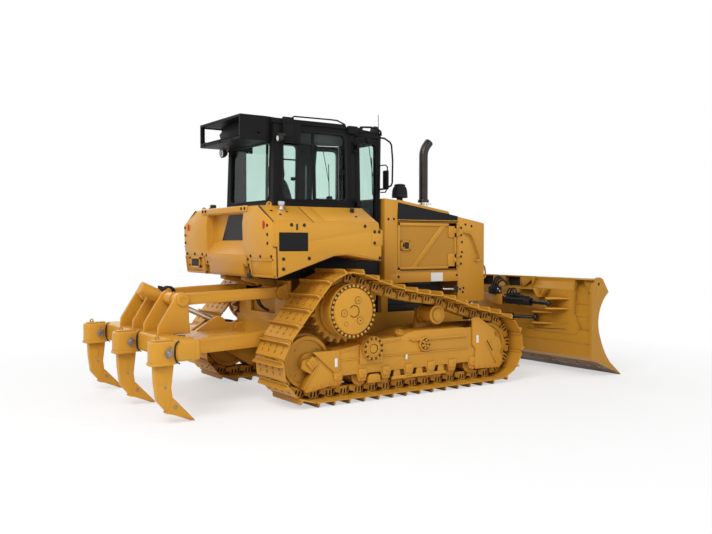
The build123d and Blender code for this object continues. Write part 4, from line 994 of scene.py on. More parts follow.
SLOPE = ((0.81, 2.08), (1.134, 1.904))   # the fender's slope: y and z of its top edge and of its ridge
SLOPE_ANGLE = 28.5


def on_slope(x, y, lift=0.0):
    """A place over the right fender's slope."""
    (y0, z0), (y1, z1) = SLOPE
    share = (-y - y0) / (y1 - y0)
    return (x, y - lift * 0.477, z0 + share * (z1 - z0) + lift * 0.879)


def tilted(piece, angle, y, z):
    """Turns a piece about the line along X through y, z."""
    piece.data.transform(shift(0, y, z) @ Matrix.Rotation(math.radians(angle), 4, "X") @ shift(0, -y, -z))
    return piece


def rear_face(y, z, out=0.0):
    """A place on the tank's rear face."""
    ridge = SLOPE[1][1]
    if z > ridge:
        x = -0.455 + 0.025 * (z - ridge) / 0.176
    elif z > 1.646:
        x = -0.447 - 0.008 * (z - 1.646) / 0.258
    else:
        x = -0.405 - 0.042 * (z - 1.33) / 0.316
    return (x - out, y, z)


def oval(y, z, half_y, half_z):
    """Points round an oval."""
    turns = [a * math.pi / 12 for a in range(24)]
    return [(y + half_y * math.cos(turn), z + half_z * math.sin(turn)) for turn in turns]


def leaned(piece, x, z):
    """Leans a piece with the rear face's lower part, about the line across the tank at x, z."""
    turn = Matrix.Rotation(-math.atan2(0.042, 0.316), 4, "Y")
    piece.data.transform(shift(X0 + x, 0, z) @ turn @ shift(-X0 - x, 0, -z))
    return piece


def rim(y0, y1, z0, z1):
    """A raised border on the rear face's lower part."""
    wide = 0.016
    x = rear_face(0, (z0 + z1) / 2)[0]
    strips = [(y0, y1, z1 - wide, z1), (y0, y1, z0, z0 + wide), (y0, y0 + wide, z0, z1),
        (y1 - wide, y1, z0, z1)]
    return leaned(joined([slab(x - 0.012, x + 0.02, *strip, 0.003) for strip in strips]), x, (z0 + z1) / 2)


def tank_panels():
    """The sheets, borders and bars that stand on the tank."""
    side = -TANK_HALF
    sheet = [(-0.44, 1.893), (0.856, 1.893), (0.866, 1.836), (0.897, 1.836), (0.89, 1.507), (0.66, 1.549),
        (0.56, 1.566), (0.442, 1.576), (0.34, 1.574), (0.28, 1.566), (-0.388, 1.344), (-0.396, 1.65),
        (-0.44, 1.652)]
    pieces = [plate(sheet, "Y", side + 0.01, side - 0.006, 0.003),
        slab(0.762, 0.905, side - 0.012, side, 1.664, 1.832, 0.003)]
    for x0, x1 in ((-0.425, 0.022), (0.036, 0.18), (0.186, 0.848)):
        panel = slab(x0, x1, -0.81 - 0.35, -0.81 - 0.012, 2.076, 2.084, 0.003)
        pieces.append(tilted(panel, SLOPE_ANGLE, -0.81, 2.08))
    # Lifting eye beside the cab
    eye = plate([(-0.365, 2.062), (-0.345, 2.108), (-0.33, 2.122), (-0.312, 2.122), (-0.297, 2.108),
        (-0.28, 2.055)], "Y", -0.836, -0.818, 0.003)
    pieces.append(cut(eye, bar((-0.321, -0.86, 2.098), (-0.321, -0.8, 2.098), 0.011, 16, 0)))
    pieces = [on_both_sides(pieces)]
    # Rear face: borders of the two lower boxes, the middle cover and the bar over the recess
    pieces += [rim(-1.12, -0.61, 1.345, 1.525), rim(0.565, 1.12, 1.345, 1.545)]
    pieces.append(slab(-0.452, -0.424, -0.565, 0.605, 2.02, 2.088, 0.012, 3))
    socket = [slab(-0.446, -0.41, *span, 0.004) for span in ((0.68, 0.95, 1.506, 1.528),
        (0.68, 0.95, 1.4, 1.42), (0.68, 0.702, 1.4, 1.528), (0.928, 0.95, 1.4, 1.528))]
    pieces += socket
    cover = plate([(-0.53, 1.465), (-0.442, 1.465), (-0.442, 1.352), (0.435, 1.352), (0.435, 1.465),
        (0.47, 1.49), (0.47, 1.568), (-0.53, 1.568)], "X", -0.44, -0.41, 0.004)
    pieces.append(leaned(cover, -0.43, 1.5))
    return pieces


class DOZER_OT_tank(bpy.types.Operator):
    """Dresses the tank and the fenders with sheets, painted shadow lines along their gaps and edges, bolts,
    lenses, caps and blank plates
    """
    bl_idname = "dozer.tank"
    bl_label = "Tank and fenders"

    def execute(self, context):
        eased("rear_tank", "tank_body", "yellow", "yellow_paint", 0.01)
        finished(joined(tank_panels()), "tank_panels", "yellow", "yellow_paint", "machine")
        face = -TANK_HALF - 0.006
        side_bolts = [(x, face, z) for x, z in ((-0.233, 1.873), (-0.084, 1.872), (0.674, 1.87),
            (-0.326, 1.527), (-0.025, 1.531), (-0.326, 1.426), (0.872, 1.526))]
        side_bolts += [(x, face - 0.006, z) for x, z in ((0.797, 1.812), (0.857, 1.812), (0.797, 1.69))]
        top_bolts = [on_slope(x, y, 0.003) for x, y in ((-0.35, -0.925), (-0.175, -0.938), (-0.284, -0.999),
            (0.646, -1.008))]
        heads = [bolt_heads(side_bolts, RIGHT, 0.0135, 0.009, 1.4),
            bolt_heads(top_bolts, (0, -0.477, 0.879), 0.012, 0.008),
            # The slab in the side's slot is painted shade; the thin dark bars on the fender's slope and
            # along the side sheet's rear edge are painted shadow lines in the gaps and steps there.
            slab(-0.18, -0.158, face - 0.004, face + 0.004, 1.822, 1.884, 0.003),
            bar((-0.434, -0.815, 2.074), (-0.44, -1.134, 1.9), 0.0075, 10),
            bar((0.029, -0.83, 2.067), (0.029, -1.135, 1.901), 0.0045, 10),
            bar((-0.397, face + 0.002, 1.342), (-0.402, face + 0.002, 1.648), 0.005, 8),
            bar((-0.402, face + 0.002, 1.648), (-0.446, face + 0.002, 1.65), 0.005, 8)]
        heads = [on_both_sides(heads)]
        rear = [(-1.036, 1.868), (-1.032, 1.777), (-1.031, 1.687), (-1.085, 1.554), (-0.847, 1.553),
            (-0.63, 1.556), (-0.558, 1.52), (-0.558, 1.458), (-0.572, 1.395), (1.095, 1.879),
            (1.097, 1.787), (1.098, 1.697), (1.071, 1.565), (0.839, 1.564), (0.621, 1.562), (0.5, 1.552),
            (0.492, 1.473), (0.42, 1.405), (0.4, 1.372)]
        heads += [
            bolt_heads([rear_face(*place, 0.001) for place in rear], REAR, 0.0125, 0.009, 1.4),
            bolt_heads([(-0.446, y, z) for y, z in ((0.967, 1.514), (0.66, 1.511), (0.968, 1.431),
                (0.66, 1.424))], REAR, 0.011, 0.008),
            bolt_heads([(-0.452, y, 2.056) for y in (0.566, 0.486, -0.446, -0.526)], REAR, 0.014, 0.009),
            # A dark slab filling the socket's square hole: painted shade.
            slab(-0.436, -0.41, 0.702, 0.928, 1.42, 1.506, 0.002),
            # Filler cap and breather on the tank, and a rubber buffer under it
            turned_part([(0, 0), (0.05, 0), (0.05, 0.018), (0.036, 0.022), (0.036, 0.048), (0.03, 0.056),
                (0, 0.057)], (-0.385, 0.42, 2.078), UP, 24),
            turned_part([(0, 0), (0.021, 0), (0.024, 0.02), (0.026, 0.036), (0.018, 0.046), (0, 0.047)],
                on_slope(0.655, -0.912), (0, -0.2, 1), 20),
            turned_part([(0, 0), (0.03, 0), (0.034, 0.014), (0.034, 0.04), (0.026, 0.052), (0, 0.054)],
                (-0.395, -0.585, 1.352), (-1, 0, -0.2), 20),
        ]
        finished(joined(heads), "tank_bolts_caps_and_gap_shadows", "dark", "black_paint", "machine")
        lenses = []
        for y, z in ((-0.96, 1.876), (0.985, 1.881)):
            x = rear_face(y, z)[0]
            lenses.append(plate(oval(y, z, 0.024, 0.04), "X", x - 0.008, x + 0.004, 0.003))
        finished(joined(lenses), "tank_reflectors", "red_lens", None, "machine")
        labels = [on_both_sides([slab(-0.377, -0.039, face - 0.002, face + 0.002, 1.606, 1.796, 0.001, 1)])]
        labels.append(plate([(-0.3, 1.722), (-0.3, 2.002), (0.115, 2.002), (0.288, 1.722)], "X", -0.334,
            -0.329, 0.001, 1))
        finished(joined(labels), "tank_blank_plates", "blank_black", "black_paint", "machine")
        lamp = turned_part([(0, 0), (0.03, 0), (0.03, 0.012), (0.022, 0.016), (0.022, 0.04), (0.034, 0.048),
            (0.036, 0.078), (0.03, 0.086), (0, 0.087)], on_slope(-0.213, -0.887), (0, -0.1, 1), 28)
        finished(lamp, "tank_filler_neck", "chrome", "chrome_rod", "machine")
        return {"FINISHED"}


# Cab

CAB_Z = (1.3, 2.985)


def cab_share(z):
    """0 at the cab's foot, 1 under its roof."""
    return (z - CAB_Z[0]) / (CAB_Z[1] - CAB_Z[0])


def cab_half(z):
    """Half the cab's width behind the doors at a height."""
    return 0.602 - 0.048 * cab_share(z)


def on_wall(x, z, out=0.0):
    """A place on the right wall."""
    return (x, -cab_half(z) - out, z)


def on_door(reach, z, out=0.0):
    """A place on the right door's face, by its run forward from the post."""
    share = cab_share(z)
    start = Vector((0.93 - 0.01 * share, -cab_half(z), z))
    end = Vector((1.375 + 0.04 * share, -0.43 + 0.02 * share, z))
    along = (end - start).normalized()
    return tuple(start + along * reach + Vector((along.y, -along.x, 0)) * out)


def on_back(y, z, out):
    return (-0.16 + 0.045 * cab_share(z) - out, y, z)


def on_front(y, z, out):
    return (1.405 + 0.04 * cab_share(z) + out, y, z)


def cab_plan(z, inset):
    """The cab's outline at a height, moved inwards by inset."""
    share = cab_share(z)
    half = cab_half(z) - inset
    nose = 0.43 - 0.02 * share - inset * 0.7
    rear, front = -0.16 + 0.045 * share + inset, 1.405 + 0.04 * share - inset
    post, corner = 0.93 - 0.01 * share - inset * 0.2, 1.375 + 0.04 * share - inset
    return [(rear, -half), (post, -half), (corner, -nose), (front, 0.04 - nose), (front, nose - 0.04),
        (corner, nose), (post, half), (rear, half)]


def cab_block(inset, z0, z1):
    """The cab's outer form between two heights, moved inwards by inset."""
    low, high = cab_plan(z0, inset), cab_plan(z1, inset)
    piece = plate(low, "Z", z0, z1, 0)
    for vertex in piece.data.vertices:
        if vertex.co.z > (z0 + z1) / 2:
            corner = min(range(8), key=lambda i: math.dist((vertex.co.x - X0, vertex.co.y), low[i]))
            vertex.co.x, vertex.co.y = high[corner][0] + X0, high[corner][1]
    return piece


def laid_on(face, piece):
    """Puts what was modelled flat, its depth along Y, onto a face of the cab."""
    for vertex in piece.data.vertices:
        x, y, z = face(vertex.co.x - X0, vertex.co.z, -vertex.co.y)
        vertex.co = (x + X0, y, z)
    return outward(piece)


def door_space(gap):
    """The right doorway, less a gap all round."""
    points = [on_door(reach, 2.0, -depth)[:2] for reach, depth in ((0.016 + gap, -0.12),
        (0.455 - gap, -0.12), (0.455 - gap, 0.07), (0.016 + gap, 0.07))]
    return plate(points, "Z", 1.48 + gap, 2.93 - gap, 0)


WINDOWS = (  # face, low and high across it, z0, z1
    (on_back, -0.47, 0.47, 2.16, 2.78),
    (on_wall, -0.005, 0.8, 2.168, 2.912),
    (on_front, -0.34, 0.34, 2.2, 2.88),
)
DOOR_WINDOW = (0.1, 0.418, 1.79, 2.86)
CORNER = 0.055


def window_form(face, low, high, z0, z1, deep0, deep1):
    """A window's rounded form on a face, from one depth in the wall to another."""
    return laid_on(face, plate(round_frame(low, high, z0, z1, CORNER)[:-1], "Y", deep0, deep1, 0))


def round_frame(a0, a1, b0, b1, corner):
    """Points once round a rectangle with round corners."""
    points = []
    for a, b, start in ((a1 - corner, b1 - corner, 0), (a0 + corner, b1 - corner, 90),
            (a0 + corner, b0 + corner, 180), (a1 - corner, b0 + corner, 270)):
        for i in range(6):
            turn = math.radians(start + 18 * i)
            points.append((a + corner * math.cos(turn), b + corner * math.sin(turn)))
    return points + points[:1]


def ring(face, frame_points, radius, out=0.0):
    """A round strip on a face along a window's edge."""
    return pipe([face(a, b, out) for a, b in frame_points], radius, 8, 1)


def leaning_bar(x0, x1, z0, z1, deep):
    """An upright bar set into the right wall by deep."""
    low, high = -cab_half(z0) + deep, -cab_half(z1) + deep
    return plate([(low, z0), (low + 0.02, z0), (high + 0.02, z1), (high, z1)], "X", x0, x1, 0.003)


def lamp(place, axis, size=0.055):
    """A round work lamp: its housing and its lens."""
    housing = turned_part([(0, -0.055), (size * 0.5, -0.05), (size * 0.9, -0.02), (size, 0.0), (size, 0.02),
        (size * 0.88, 0.022), (size * 0.86, 0.01), (0, 0.01)], place, axis, 24)
    lens = turned_part([(0, 0.011), (size * 0.84, 0.011), (size * 0.8, 0.017), (size * 0.4, 0.021),
        (0, 0.022)], place, axis, 24)
    return housing, lens


def cushion(x0, x1, y0, y1, z0, z1):
    """A crowned pad: a box whose sides are inset and then smoothed."""
    deselect()
    middle = ((x0 + x1) / 2 + X0, (y0 + y1) / 2, (z0 + z1) / 2)
    bpy.ops.mesh.primitive_cube_add(size=1, location=middle, scale=(x1 - x0, y1 - y0, z1 - z0))
    piece = bpy.context.object
    bpy.ops.object.transform_apply(location=True, rotation=True, scale=True)
    with editing(piece):
        bpy.ops.mesh.inset(thickness=0.03, depth=0.006, use_individual=True)
    applied(piece, "SUBSURF", levels=3)
    return rounded(piece, 0, 1, 60)


def cab_walls():
    """The leaning walls, their windows and doorways cut, with the doors' fixed hinge knuckles."""
    shell = cut(cab_block(0, *CAB_Z), cab_block(0.05, 1.34, 3.1))
    for window in WINDOWS:
        tool = window_form(*window, -0.15, 0.15)
        if window[0] is on_wall:
            shell = cut(shell, mirrored(tool))
        shell = cut(shell, tool)
    doorway = door_space(0)
    shell = cut(cut(shell, mirrored(doorway)), doorway)
    rounded(shell, 0.008, 3, 30)
    knuckles = []
    for z in CAB_HINGES:
        for z0, z1 in ((z - 0.04, z - 0.001), (z + KNUCKLE + 0.001, z + 0.1)):
            knuckles.append(bar((*CAB_HINGE, z0), (*CAB_HINGE, z1), 0.01, 16))
            leaf = [(0.9, -cab_half(z) + 0.02), (0.928, -cab_half(z) + 0.02), (0.942, -0.612),
                (0.915, -0.612)]
            knuckles.append(plate(leaf, "Z", z0, z1, 0.002))
    finished(joined([shell, on_both_sides(knuckles)]), "cab_walls", "black", "black_paint", "machine",
        "cab_shell")


def cab_roof():
    """The roof's slab, the open box behind it, the frame's corner brackets and the antenna."""
    outline = [(-0.13, -0.57), (0.925, -0.57), (1.4, -0.42), (1.43, -0.38), (1.43, 0.38), (1.4, 0.42),
        (0.925, 0.57), (-0.13, 0.57)]
    slab_piece = joined([plate(outline, "Z", 2.985, 3.01, 0.01, 3),
        plate([(-0.13, 3.005), (0.86, 3.005), (0.79, 3.044), (-0.13, 3.044)], "Y", -0.548, 0.548, 0.008,
        3)])
    box = plate([(-0.5, -0.52), (-0.19, -0.52), (-0.06, -0.49), (-0.06, 0.49), (-0.19, 0.52), (-0.5, 0.52)],
        "Z", 2.79, 3.055, 0)
    hollow = plate([(-0.52, 2.825), (-0.17, 2.852), (-0.17, 3.025), (-0.52, 3.025)], "Y", -0.49, 0.49, 0)
    side = slab(-0.45, -0.23, 0.47, 0.56, 2.86, 3.015, 0)
    hole = bar((-0.278, -0.6, 2.87), (-0.278, -0.44, 2.87), 0.012, 16, 0)
    low = slab(-0.122, 0.1, -0.6, 0.6, 2.7, 2.985, 0)
    box = rounded(cut(cut(cut(cut(box, hollow), side), hole), low), 0.006, 2, 30)
    baffle = plate([(-0.489, 2.828), (0.235, 2.828), (0.3, 2.93), (0.1, 3.02), (-0.489, 3.02)], "X", -0.36,
        -0.35, 0.003)
    braces = []
    for x0, x1, wide, z0, z1 in ((-0.02, 0.11, 0.6, 2.78, 3.055), (0.11, 0.205, 0.582, 2.775, 3.0)):
        braces.append(slab(x0, x1, -wide, -0.562, z0, z1, 0.005))
    mast = [bar((1.39, -0.4, 3.0), (1.39, -0.4, 3.04), 0.012, 16),
        bar((1.39, -0.4, 3.03), (1.384, -0.4, 3.226), 0.004, 8)]
    finished(joined([slab_piece, box, baffle, on_both_sides(braces)] + mast), "cab_roof_skin", "black",
        "black_paint", "machine", "cab_roof")


def cab_side_trim():
    """Gaskets, the sliding pane's frame, latch, posts and rails of the right side."""
    pieces = [ring(on_wall, round_frame(-0.008, 0.803, 2.165, 2.915, 0.06), 0.009, -0.002)]
    pieces += [
        leaning_bar(0.372, 0.402, 2.172, 2.908, 0.012),
        leaning_bar(0.405, 0.425, 2.172, 2.735, 0.032),
        leaning_bar(0.785, 0.8, 2.172, 2.735, 0.032),
    ]
    for z in (2.172, 2.722):
        half = cab_half(z) - 0.032
        pieces.append(slab(0.405, 0.8, -half, -half + 0.018, z, z + 0.018, 0.003))
    pieces += [
        slab(0.73, 0.79, -cab_half(2.5) - 0.004, -cab_half(2.5) + 0.03, 2.476, 2.52, 0.006),
        # Upright seam and bead of the rear post
        bar(on_wall(-0.085, 1.75, 0.001), on_wall(-0.058, 2.76, 0.001), 0.006, 8),
        bar(on_wall(0.865, 1.6, 0.001), on_wall(0.858, 2.93, 0.001), 0.005, 8),
        button_heads([on_wall(-0.099, 2.19, 0.0)], RIGHT, 0.012, 0.006),
    ]
    # Rail over the roof's edge
    rail = [(0.12, -0.555, 3.0), (0.122, -0.555, 3.066), (0.14, -0.555, 3.074), (0.62, -0.555, 3.08),
        (0.7, -0.553, 3.078), (0.805, -0.546, 3.044), (0.83, -0.54, 3.0)]
    pieces.append(pipe(rail, 0.009, 10, 1))
    # Hand rail and brace at the front post
    grab = [(1.4, -0.425, 2.95), (1.44, -0.45, 2.944), (1.52, -0.452, 2.905), (1.544, -0.452, 2.87),
        (1.562, -0.452, 2.68), (1.556, -0.452, 2.42), (1.54, -0.452, 2.385), (1.45, -0.45, 2.345),
        (1.395, -0.425, 2.335)]
    pieces.append(pipe(grab, 0.011, 12, 1))
    brace = [(1.05, -0.48, 3.008), (1.075, -0.48, 3.044), (1.225, -0.47, 3.056), (1.33, -0.455, 3.046),
        (1.392, -0.44, 3.022), (1.405, -0.43, 2.975)]
    pieces += [
        pipe(brace, 0.012, 12, 1),
        # Mirror with its arm
        slab(1.425, 1.452, -0.53, -0.43, 2.33, 2.56, 0.012, 3),
        pipe([(1.405, -0.42, 2.62), (1.44, -0.47, 2.625), (1.445, -0.505, 2.6), (1.44, -0.507, 2.54)],
            0.008, 8, 1),
        pipe([(1.41, -0.415, 2.3), (1.44, -0.47, 2.3), (1.44, -0.505, 2.345)], 0.008, 8, 1),
    ]
    return pieces


def roof_brackets():
    """Bolts on the roll-over frame's brackets, and the corner box over the door."""
    pieces = []
    for z in (2.84, 3.0):
        pieces.append(bolt_heads([(0.015, -0.602, z), (0.075, -0.602, z)], RIGHT, 0.012, 0.008))
    pieces += [
        slab(0.83, 0.955, -0.6, -0.545, 2.935, 3.028, 0.01, 3),
        slab(0.955, 1.04, -0.578, -0.53, 2.962, 3.02, 0.008, 2),
    ]
    return pieces


def roof_box_trim():
    """Bolts and the lip of the box behind the roof."""
    pieces = [bar((-0.5, -0.485, 2.83), (-0.5, 0.485, 2.83), 0.007, 8)]
    pieces += [
        bolt_heads([(-0.5, y, 2.806) for y in (-0.32, -0.02, 0.4)], REAR, 0.01, 0.007),
        bolt_heads([(x, y, 3.055) for x in (-0.46, -0.16) for y in (-0.44, 0.0, 0.44)], UP, 0.011, 0.008),
    ]
    for shift_y in (0.0, 0.018, 0.036):
        pieces.append(pipe([(-0.06, -0.53 + shift_y, 2.77), (-0.075, -0.56, 2.86), (-0.06, -0.545, 2.96),
            (-0.05 + shift_y, -0.52, 3.03)], 0.008, 8))
    return pieces


class DOZER_OT_cab(bpy.types.Operator):
    """Dresses the cab: gaskets, sliding panes, hinges, rails, lamps, mirrors and roof"""
    bl_idname = "dozer.cab"
    bl_label = "Cab"

    def execute(self, context):
        cab_walls()
        cab_roof()
        trim = on_both_sides(cab_side_trim() + roof_brackets())
        back = [ring(on_back, round_frame(-0.478, 0.478, 2.152, 2.788, 0.06), 0.009, -0.002),
            ring(on_front, round_frame(-0.348, 0.348, 2.192, 2.888, 0.06), 0.009, -0.002)]
        back += roof_box_trim()
        finished(joined([trim] + back), "cab_trim", "black", "black_paint", "machine")
        gasket = ring(on_wall, round_frame(-0.018, 0.813, 2.155, 2.925, 0.066), 0.006, 0.002)
        finished(on_both_sides([gasket]), "cab_gaskets", "rubber", "black_paint", "machine")
        panes = [window_form(*window, 0.02, 0.026) for window in WINDOWS]
        panes.append(mirrored(panes[1]))
        finished(joined(panes), "cab_panes", "glass", "pale_glass", "machine", "cab_glass")
        lamps = [lamp((-0.175, 0.6, 2.762), (-1, 0, -0.1)),
            lamp((-0.092, -0.628, 2.812), (-1, 0, -0.1), 0.036),
            lamp((-0.092, 0.628, 2.812), (-1, 0, -0.1), 0.036)]
        for y in (-0.3, 0.3):
            lamps.append(lamp((1.405, y, 3.05), (1, 0, -0.1)))
        arms = [slab(-0.2, -0.13, 0.592, 0.608, 2.74, 2.9, 0.003),
            on_both_sides([slab(-0.1, -0.015, -0.64, -0.6, 2.842, 2.866, 0.004),
            slab(1.3, 1.41, -0.316, -0.284, 3.006, 3.03, 0.004)])]
        finished(joined([housing for housing, _ in lamps] + arms), "cab_lamp_housings", "dark",
            "black_paint", "machine")
        finished(joined([lens for _, lens in lamps]), "cab_lamp_lenses", "clear_lens", None, "machine")
        return {"FINISHED"}


class DOZER_OT_cab_doors(bpy.types.Operator):
    """Dresses both cab doors with gaskets, handles, hinges, wipers and panes"""
    bl_idname = "dozer.cab_doors"
    bl_label = "Cab doors"

    def execute(self, context):
        for side in ("right", "left"):
            node = f"cab_door_{side}"
            leaf = common(cut(cab_block(0, 1.4, 2.96), cab_block(0.05, 1.35, 3.0)), door_space(0.012))
            leaf = rounded(cut(leaf, window_form(on_door, *DOOR_WINDOW, -0.15, 0.15)), 0.006, 2, 30)
            leaves = [leaf]
            for z in CAB_HINGES:
                leaves.append(bar((*CAB_HINGE, z), (*CAB_HINGE, z + KNUCKLE), 0.01, 16))
                strap = [(0.938, -0.624), (1.0, -cab_half(z) + 0.014), (1.0, -cab_half(z) + 0.04),
                    (0.943, -0.608)]
                leaves.append(plate(strap, "Z", z, z + KNUCKLE, 0.002))
            pane_piece = window_form(on_door, *DOOR_WINDOW, 0.02, 0.026)
            parts = [ring(on_door, round_frame(0.097, 0.421, 1.787, 2.863, 0.058), 0.008, -0.002),
                ring(on_door, round_frame(0.058, 0.436, 1.72, 2.898, 0.075), 0.004, 0.002)]
            parts += [
                pipe([on_door(0.385, 1.7, 0.0), on_door(0.385, 1.7, 0.03), on_door(0.382, 1.6, 0.034),
                    on_door(0.385, 1.56, 0.03), on_door(0.385, 1.56, 0.0)], 0.008, 8, 1),
                button_heads([on_door(0.385, 1.745, 0.0)], DOOR_OUT, 0.014, 0.01),
                # Wiper: its motor's cover, arm and blade
                turned_part([(0, 0), (0.026, 0), (0.026, 0.012), (0.016, 0.02), (0, 0.021)],
                    on_door(0.25, 2.895, 0.0), DOOR_OUT, 16),
                bar(on_door(0.25, 2.89, 0.016), on_door(0.33, 2.48, 0.018), 0.005, 8),
                bar(on_door(0.325, 2.7, 0.008), on_door(0.335, 2.26, 0.008), 0.006, 8),
                bolt_heads([on_door(0.032, z, 0.0) for z in (1.65, 2.16, 2.46, 2.7)], DOOR_OUT, 0.01,
                    0.007),
            ]
            door = joined(leaves + parts)
            if side == "left":
                door, pane_piece = [other_side(piece) for piece in (door, pane_piece)]
            finished(door, f"cab_door_{side}_skin", "black", "black_paint", node, node)
            finished(pane_piece, f"door_pane_{side}", "glass", "pale_glass", node, f"door_glass_{side}")
        return {"FINISHED"}


class DOZER_OT_cabin(bpy.types.Operator):
    """Furnishes the cab: padded seat, arm pods, console, screen and levers"""
    bl_idname = "dozer.cabin"
    bl_label = "Seat and controls"

    def execute(self, context):
        stand = [slab(0.34, 0.67, -0.145, 0.145, 1.342, 1.58, 0.02, 3),
            slab(0.36, 0.65, -0.12, 0.12, 1.56, 1.7, 0.03, 3),
            slab(0.27, 0.74, -0.235, 0.235, 1.69, 1.745, 0.02, 3)]
        for z in (1.6, 1.63, 1.66):
            stand.append(slab(0.35, 0.66, -0.13, 0.13, z, z + 0.012, 0.005, 2))
        shell = plate([(0.235, 1.74), (0.262, 1.74), (0.205, 2.42), (0.22, 2.59), (0.195, 2.59),
            (0.178, 2.42)], "Y", -0.14, 0.14, 0.012, 3)
        pods = on_both_sides([slab(0.3, 0.7, -0.335, -0.245, 1.87, 1.93, 0.02, 3),
            slab(0.34, 0.42, -0.3, -0.25, 1.72, 1.88, 0.01, 2),
            turned_part([(0, 0), (0.02, 0.0), (0.014, 0.05), (0.016, 0.09), (0.024, 0.12), (0.02, 0.15),
            (0, 0.155)], (0.66, -0.29, 1.925), (0.2, 0, 1), 20)])
        finished(joined(stand + [shell, pods]), "seat_stand", "dark", "seat_cloth", "machine", "seat")
        lean = Matrix.Rotation(math.radians(-7.5), 4, "Y")
        pads = [cushion(0.27, 0.76, -0.25, 0.25, 1.72, 1.86)]
        back = cushion(0.25, 0.38, -0.24, 0.24, 1.8, 2.42)
        for vertex in back.data.vertices:
            vertex.co.y *= 1 - 0.38 * min(1, max(0, (vertex.co.z - 1.86) / 0.56))
        head = cushion(0.255, 0.345, -0.14, 0.14, 2.42, 2.6)
        foot = shift(X0 + 0.32, 0, 1.84)
        for pad in (back, head):
            pad.data.transform(foot @ lean @ foot.inverted())
        pads += [back, head]
        for i, pad in enumerate(pads):
            finished(pad, ("seat_cushion", "seat_backrest", "seat_headrest")[i], "cloth", "seat_cloth",
                "machine")
        seam = pipe([(a, b, 1.792) for a, b in round_frame(0.272, 0.758, -0.248, 0.248, 0.05)], 0.004, 8, 1)
        finished(seam, "seat_seams", "dark", "seat_cloth", "machine")
        dash = rounded(node_copy("console"), 0.02, 3, 32)
        parts = [dash, plate([(1.098, 2.085), (1.165, 2.118), (1.15, 2.135), (1.085, 2.102)], "Y", -0.14,
            0.14, 0.008)]
        for y in (-0.27, -0.21, 0.21, 0.27):
            parts += [
                bar((1.13, y, 2.06), (1.1, y, 2.24), 0.007, 10),
                turned_part([(0, -0.02), (0.018, -0.016), (0.024, 0.0), (0.018, 0.018), (0, 0.024)],
                    (1.097, y, 2.255), (-0.15, 0, 1), 16),
            ]
        finished(joined(parts), "console_skin", "dark", "console_plastic", "machine", "console")
        screen = plate([(1.092, 2.104), (1.15, 2.133), (1.148, 2.137), (1.09, 2.108)], "Y", -0.12, 0.12,
            0.001, 1)
        finished(screen, "console_screen", "blank_black", "console_plastic", "machine")
        lining = [slab(-0.05, 1.3, -0.4, 0.4, 2.925, 2.965, 0.01, 2),
            slab(-0.1, 0.09, 0.5, 0.545, 1.36, 2.9, 0.01, 2)]
        finished(joined(lining), "cab_lining", "lining", "black_paint", "machine")
        return {"FINISHED"}


# Hood

def door_face():
    """The pressed panel of the right engine door, with its borders, brace, hinge pads and latch."""
    y = -HOOD_HALF
    pieces = [slab(1.632, 2.568, y + 0.012, y + 0.018, 1.372, 1.943, 0.001, 1)]
    for x0, x1, z0, z1 in ((1.632, 2.568, 1.906, 1.943), (1.632, 2.568, 1.372, 1.402),
            (1.632, 1.662, 1.372, 1.943), (2.54, 2.568, 1.372, 1.943), (2.44, 2.568, 1.765, 1.943),
            (2.43, 2.568, 1.372, 1.56)):
        pieces.append(slab(x0, x1, y, y + 0.014, z0, z1, 0.003))
    brace = [(1.835, 1.395), (1.925, 1.395), (2.398, 1.912), (2.305, 1.912)]
    pieces.append(plate(brace, "Y", y + 0.003, y + 0.014, 0.003))
    for x0, x1, z0, z1 in ((1.68, 1.82, 1.702, 1.722), (1.68, 1.82, 1.604, 1.622),
            (1.68, 1.7, 1.604, 1.722), (1.8, 1.82, 1.604, 1.722)):
        pieces.append(slab(x0, x1, y - 0.006, y + 0.013, z0, z1, 0.003))
    for z in (1.45, 1.82):
        pieces += [
            bar((2.573, y - 0.009, z), (2.573, y - 0.009, z + 0.06), 0.009, 16),
            slab(2.52, 2.57, y - 0.006, y, z, z + 0.06, 0.002),
        ]
    return pieces


class DOZER_OT_engine_doors(bpy.types.Operator):
    """Builds the engine doors' pressed panels with their hinge pads, latches and bolts"""
    bl_idname = "dozer.engine_doors"
    bl_label = "Engine doors"

    def execute(self, context):
        y = -HOOD_HALF
        for side in ("right", "left"):
            panel = joined(door_face())
            # The recessed field in a darker finish, painted shade for its recess.
            field = slab(1.662, 2.541, y + 0.0108, y + 0.0125, 1.402, 1.906, 0, 1)
            fixings = [slab(1.752, 1.796, y - 0.004, y + 0.013, 1.628, 1.7, 0.006, 3),
                cap(0.017, 0.01, 0.012, 0.014, (1.722, y + 0.006, 1.664), RIGHT, 20)]
            fixings.append(button_heads([(2.548, y, z) for z in (1.906, 1.778, 1.541, 1.42)], RIGHT, 0.01,
                0.007))
            latch = joined(fixings)
            if side == "left":
                panel, latch, field = [other_side(piece) for piece in (panel, latch, field)]
            node = f"engine_door_{side}"
            finished(panel, f"{node}_panel", "yellow", "yellow_paint", node, node)
            finished(field, f"{node}_field", "field", "yellow_paint", node)
            finished(latch, f"{node}_latch", "dark", "black_paint", node)
        return {"FINISHED"}


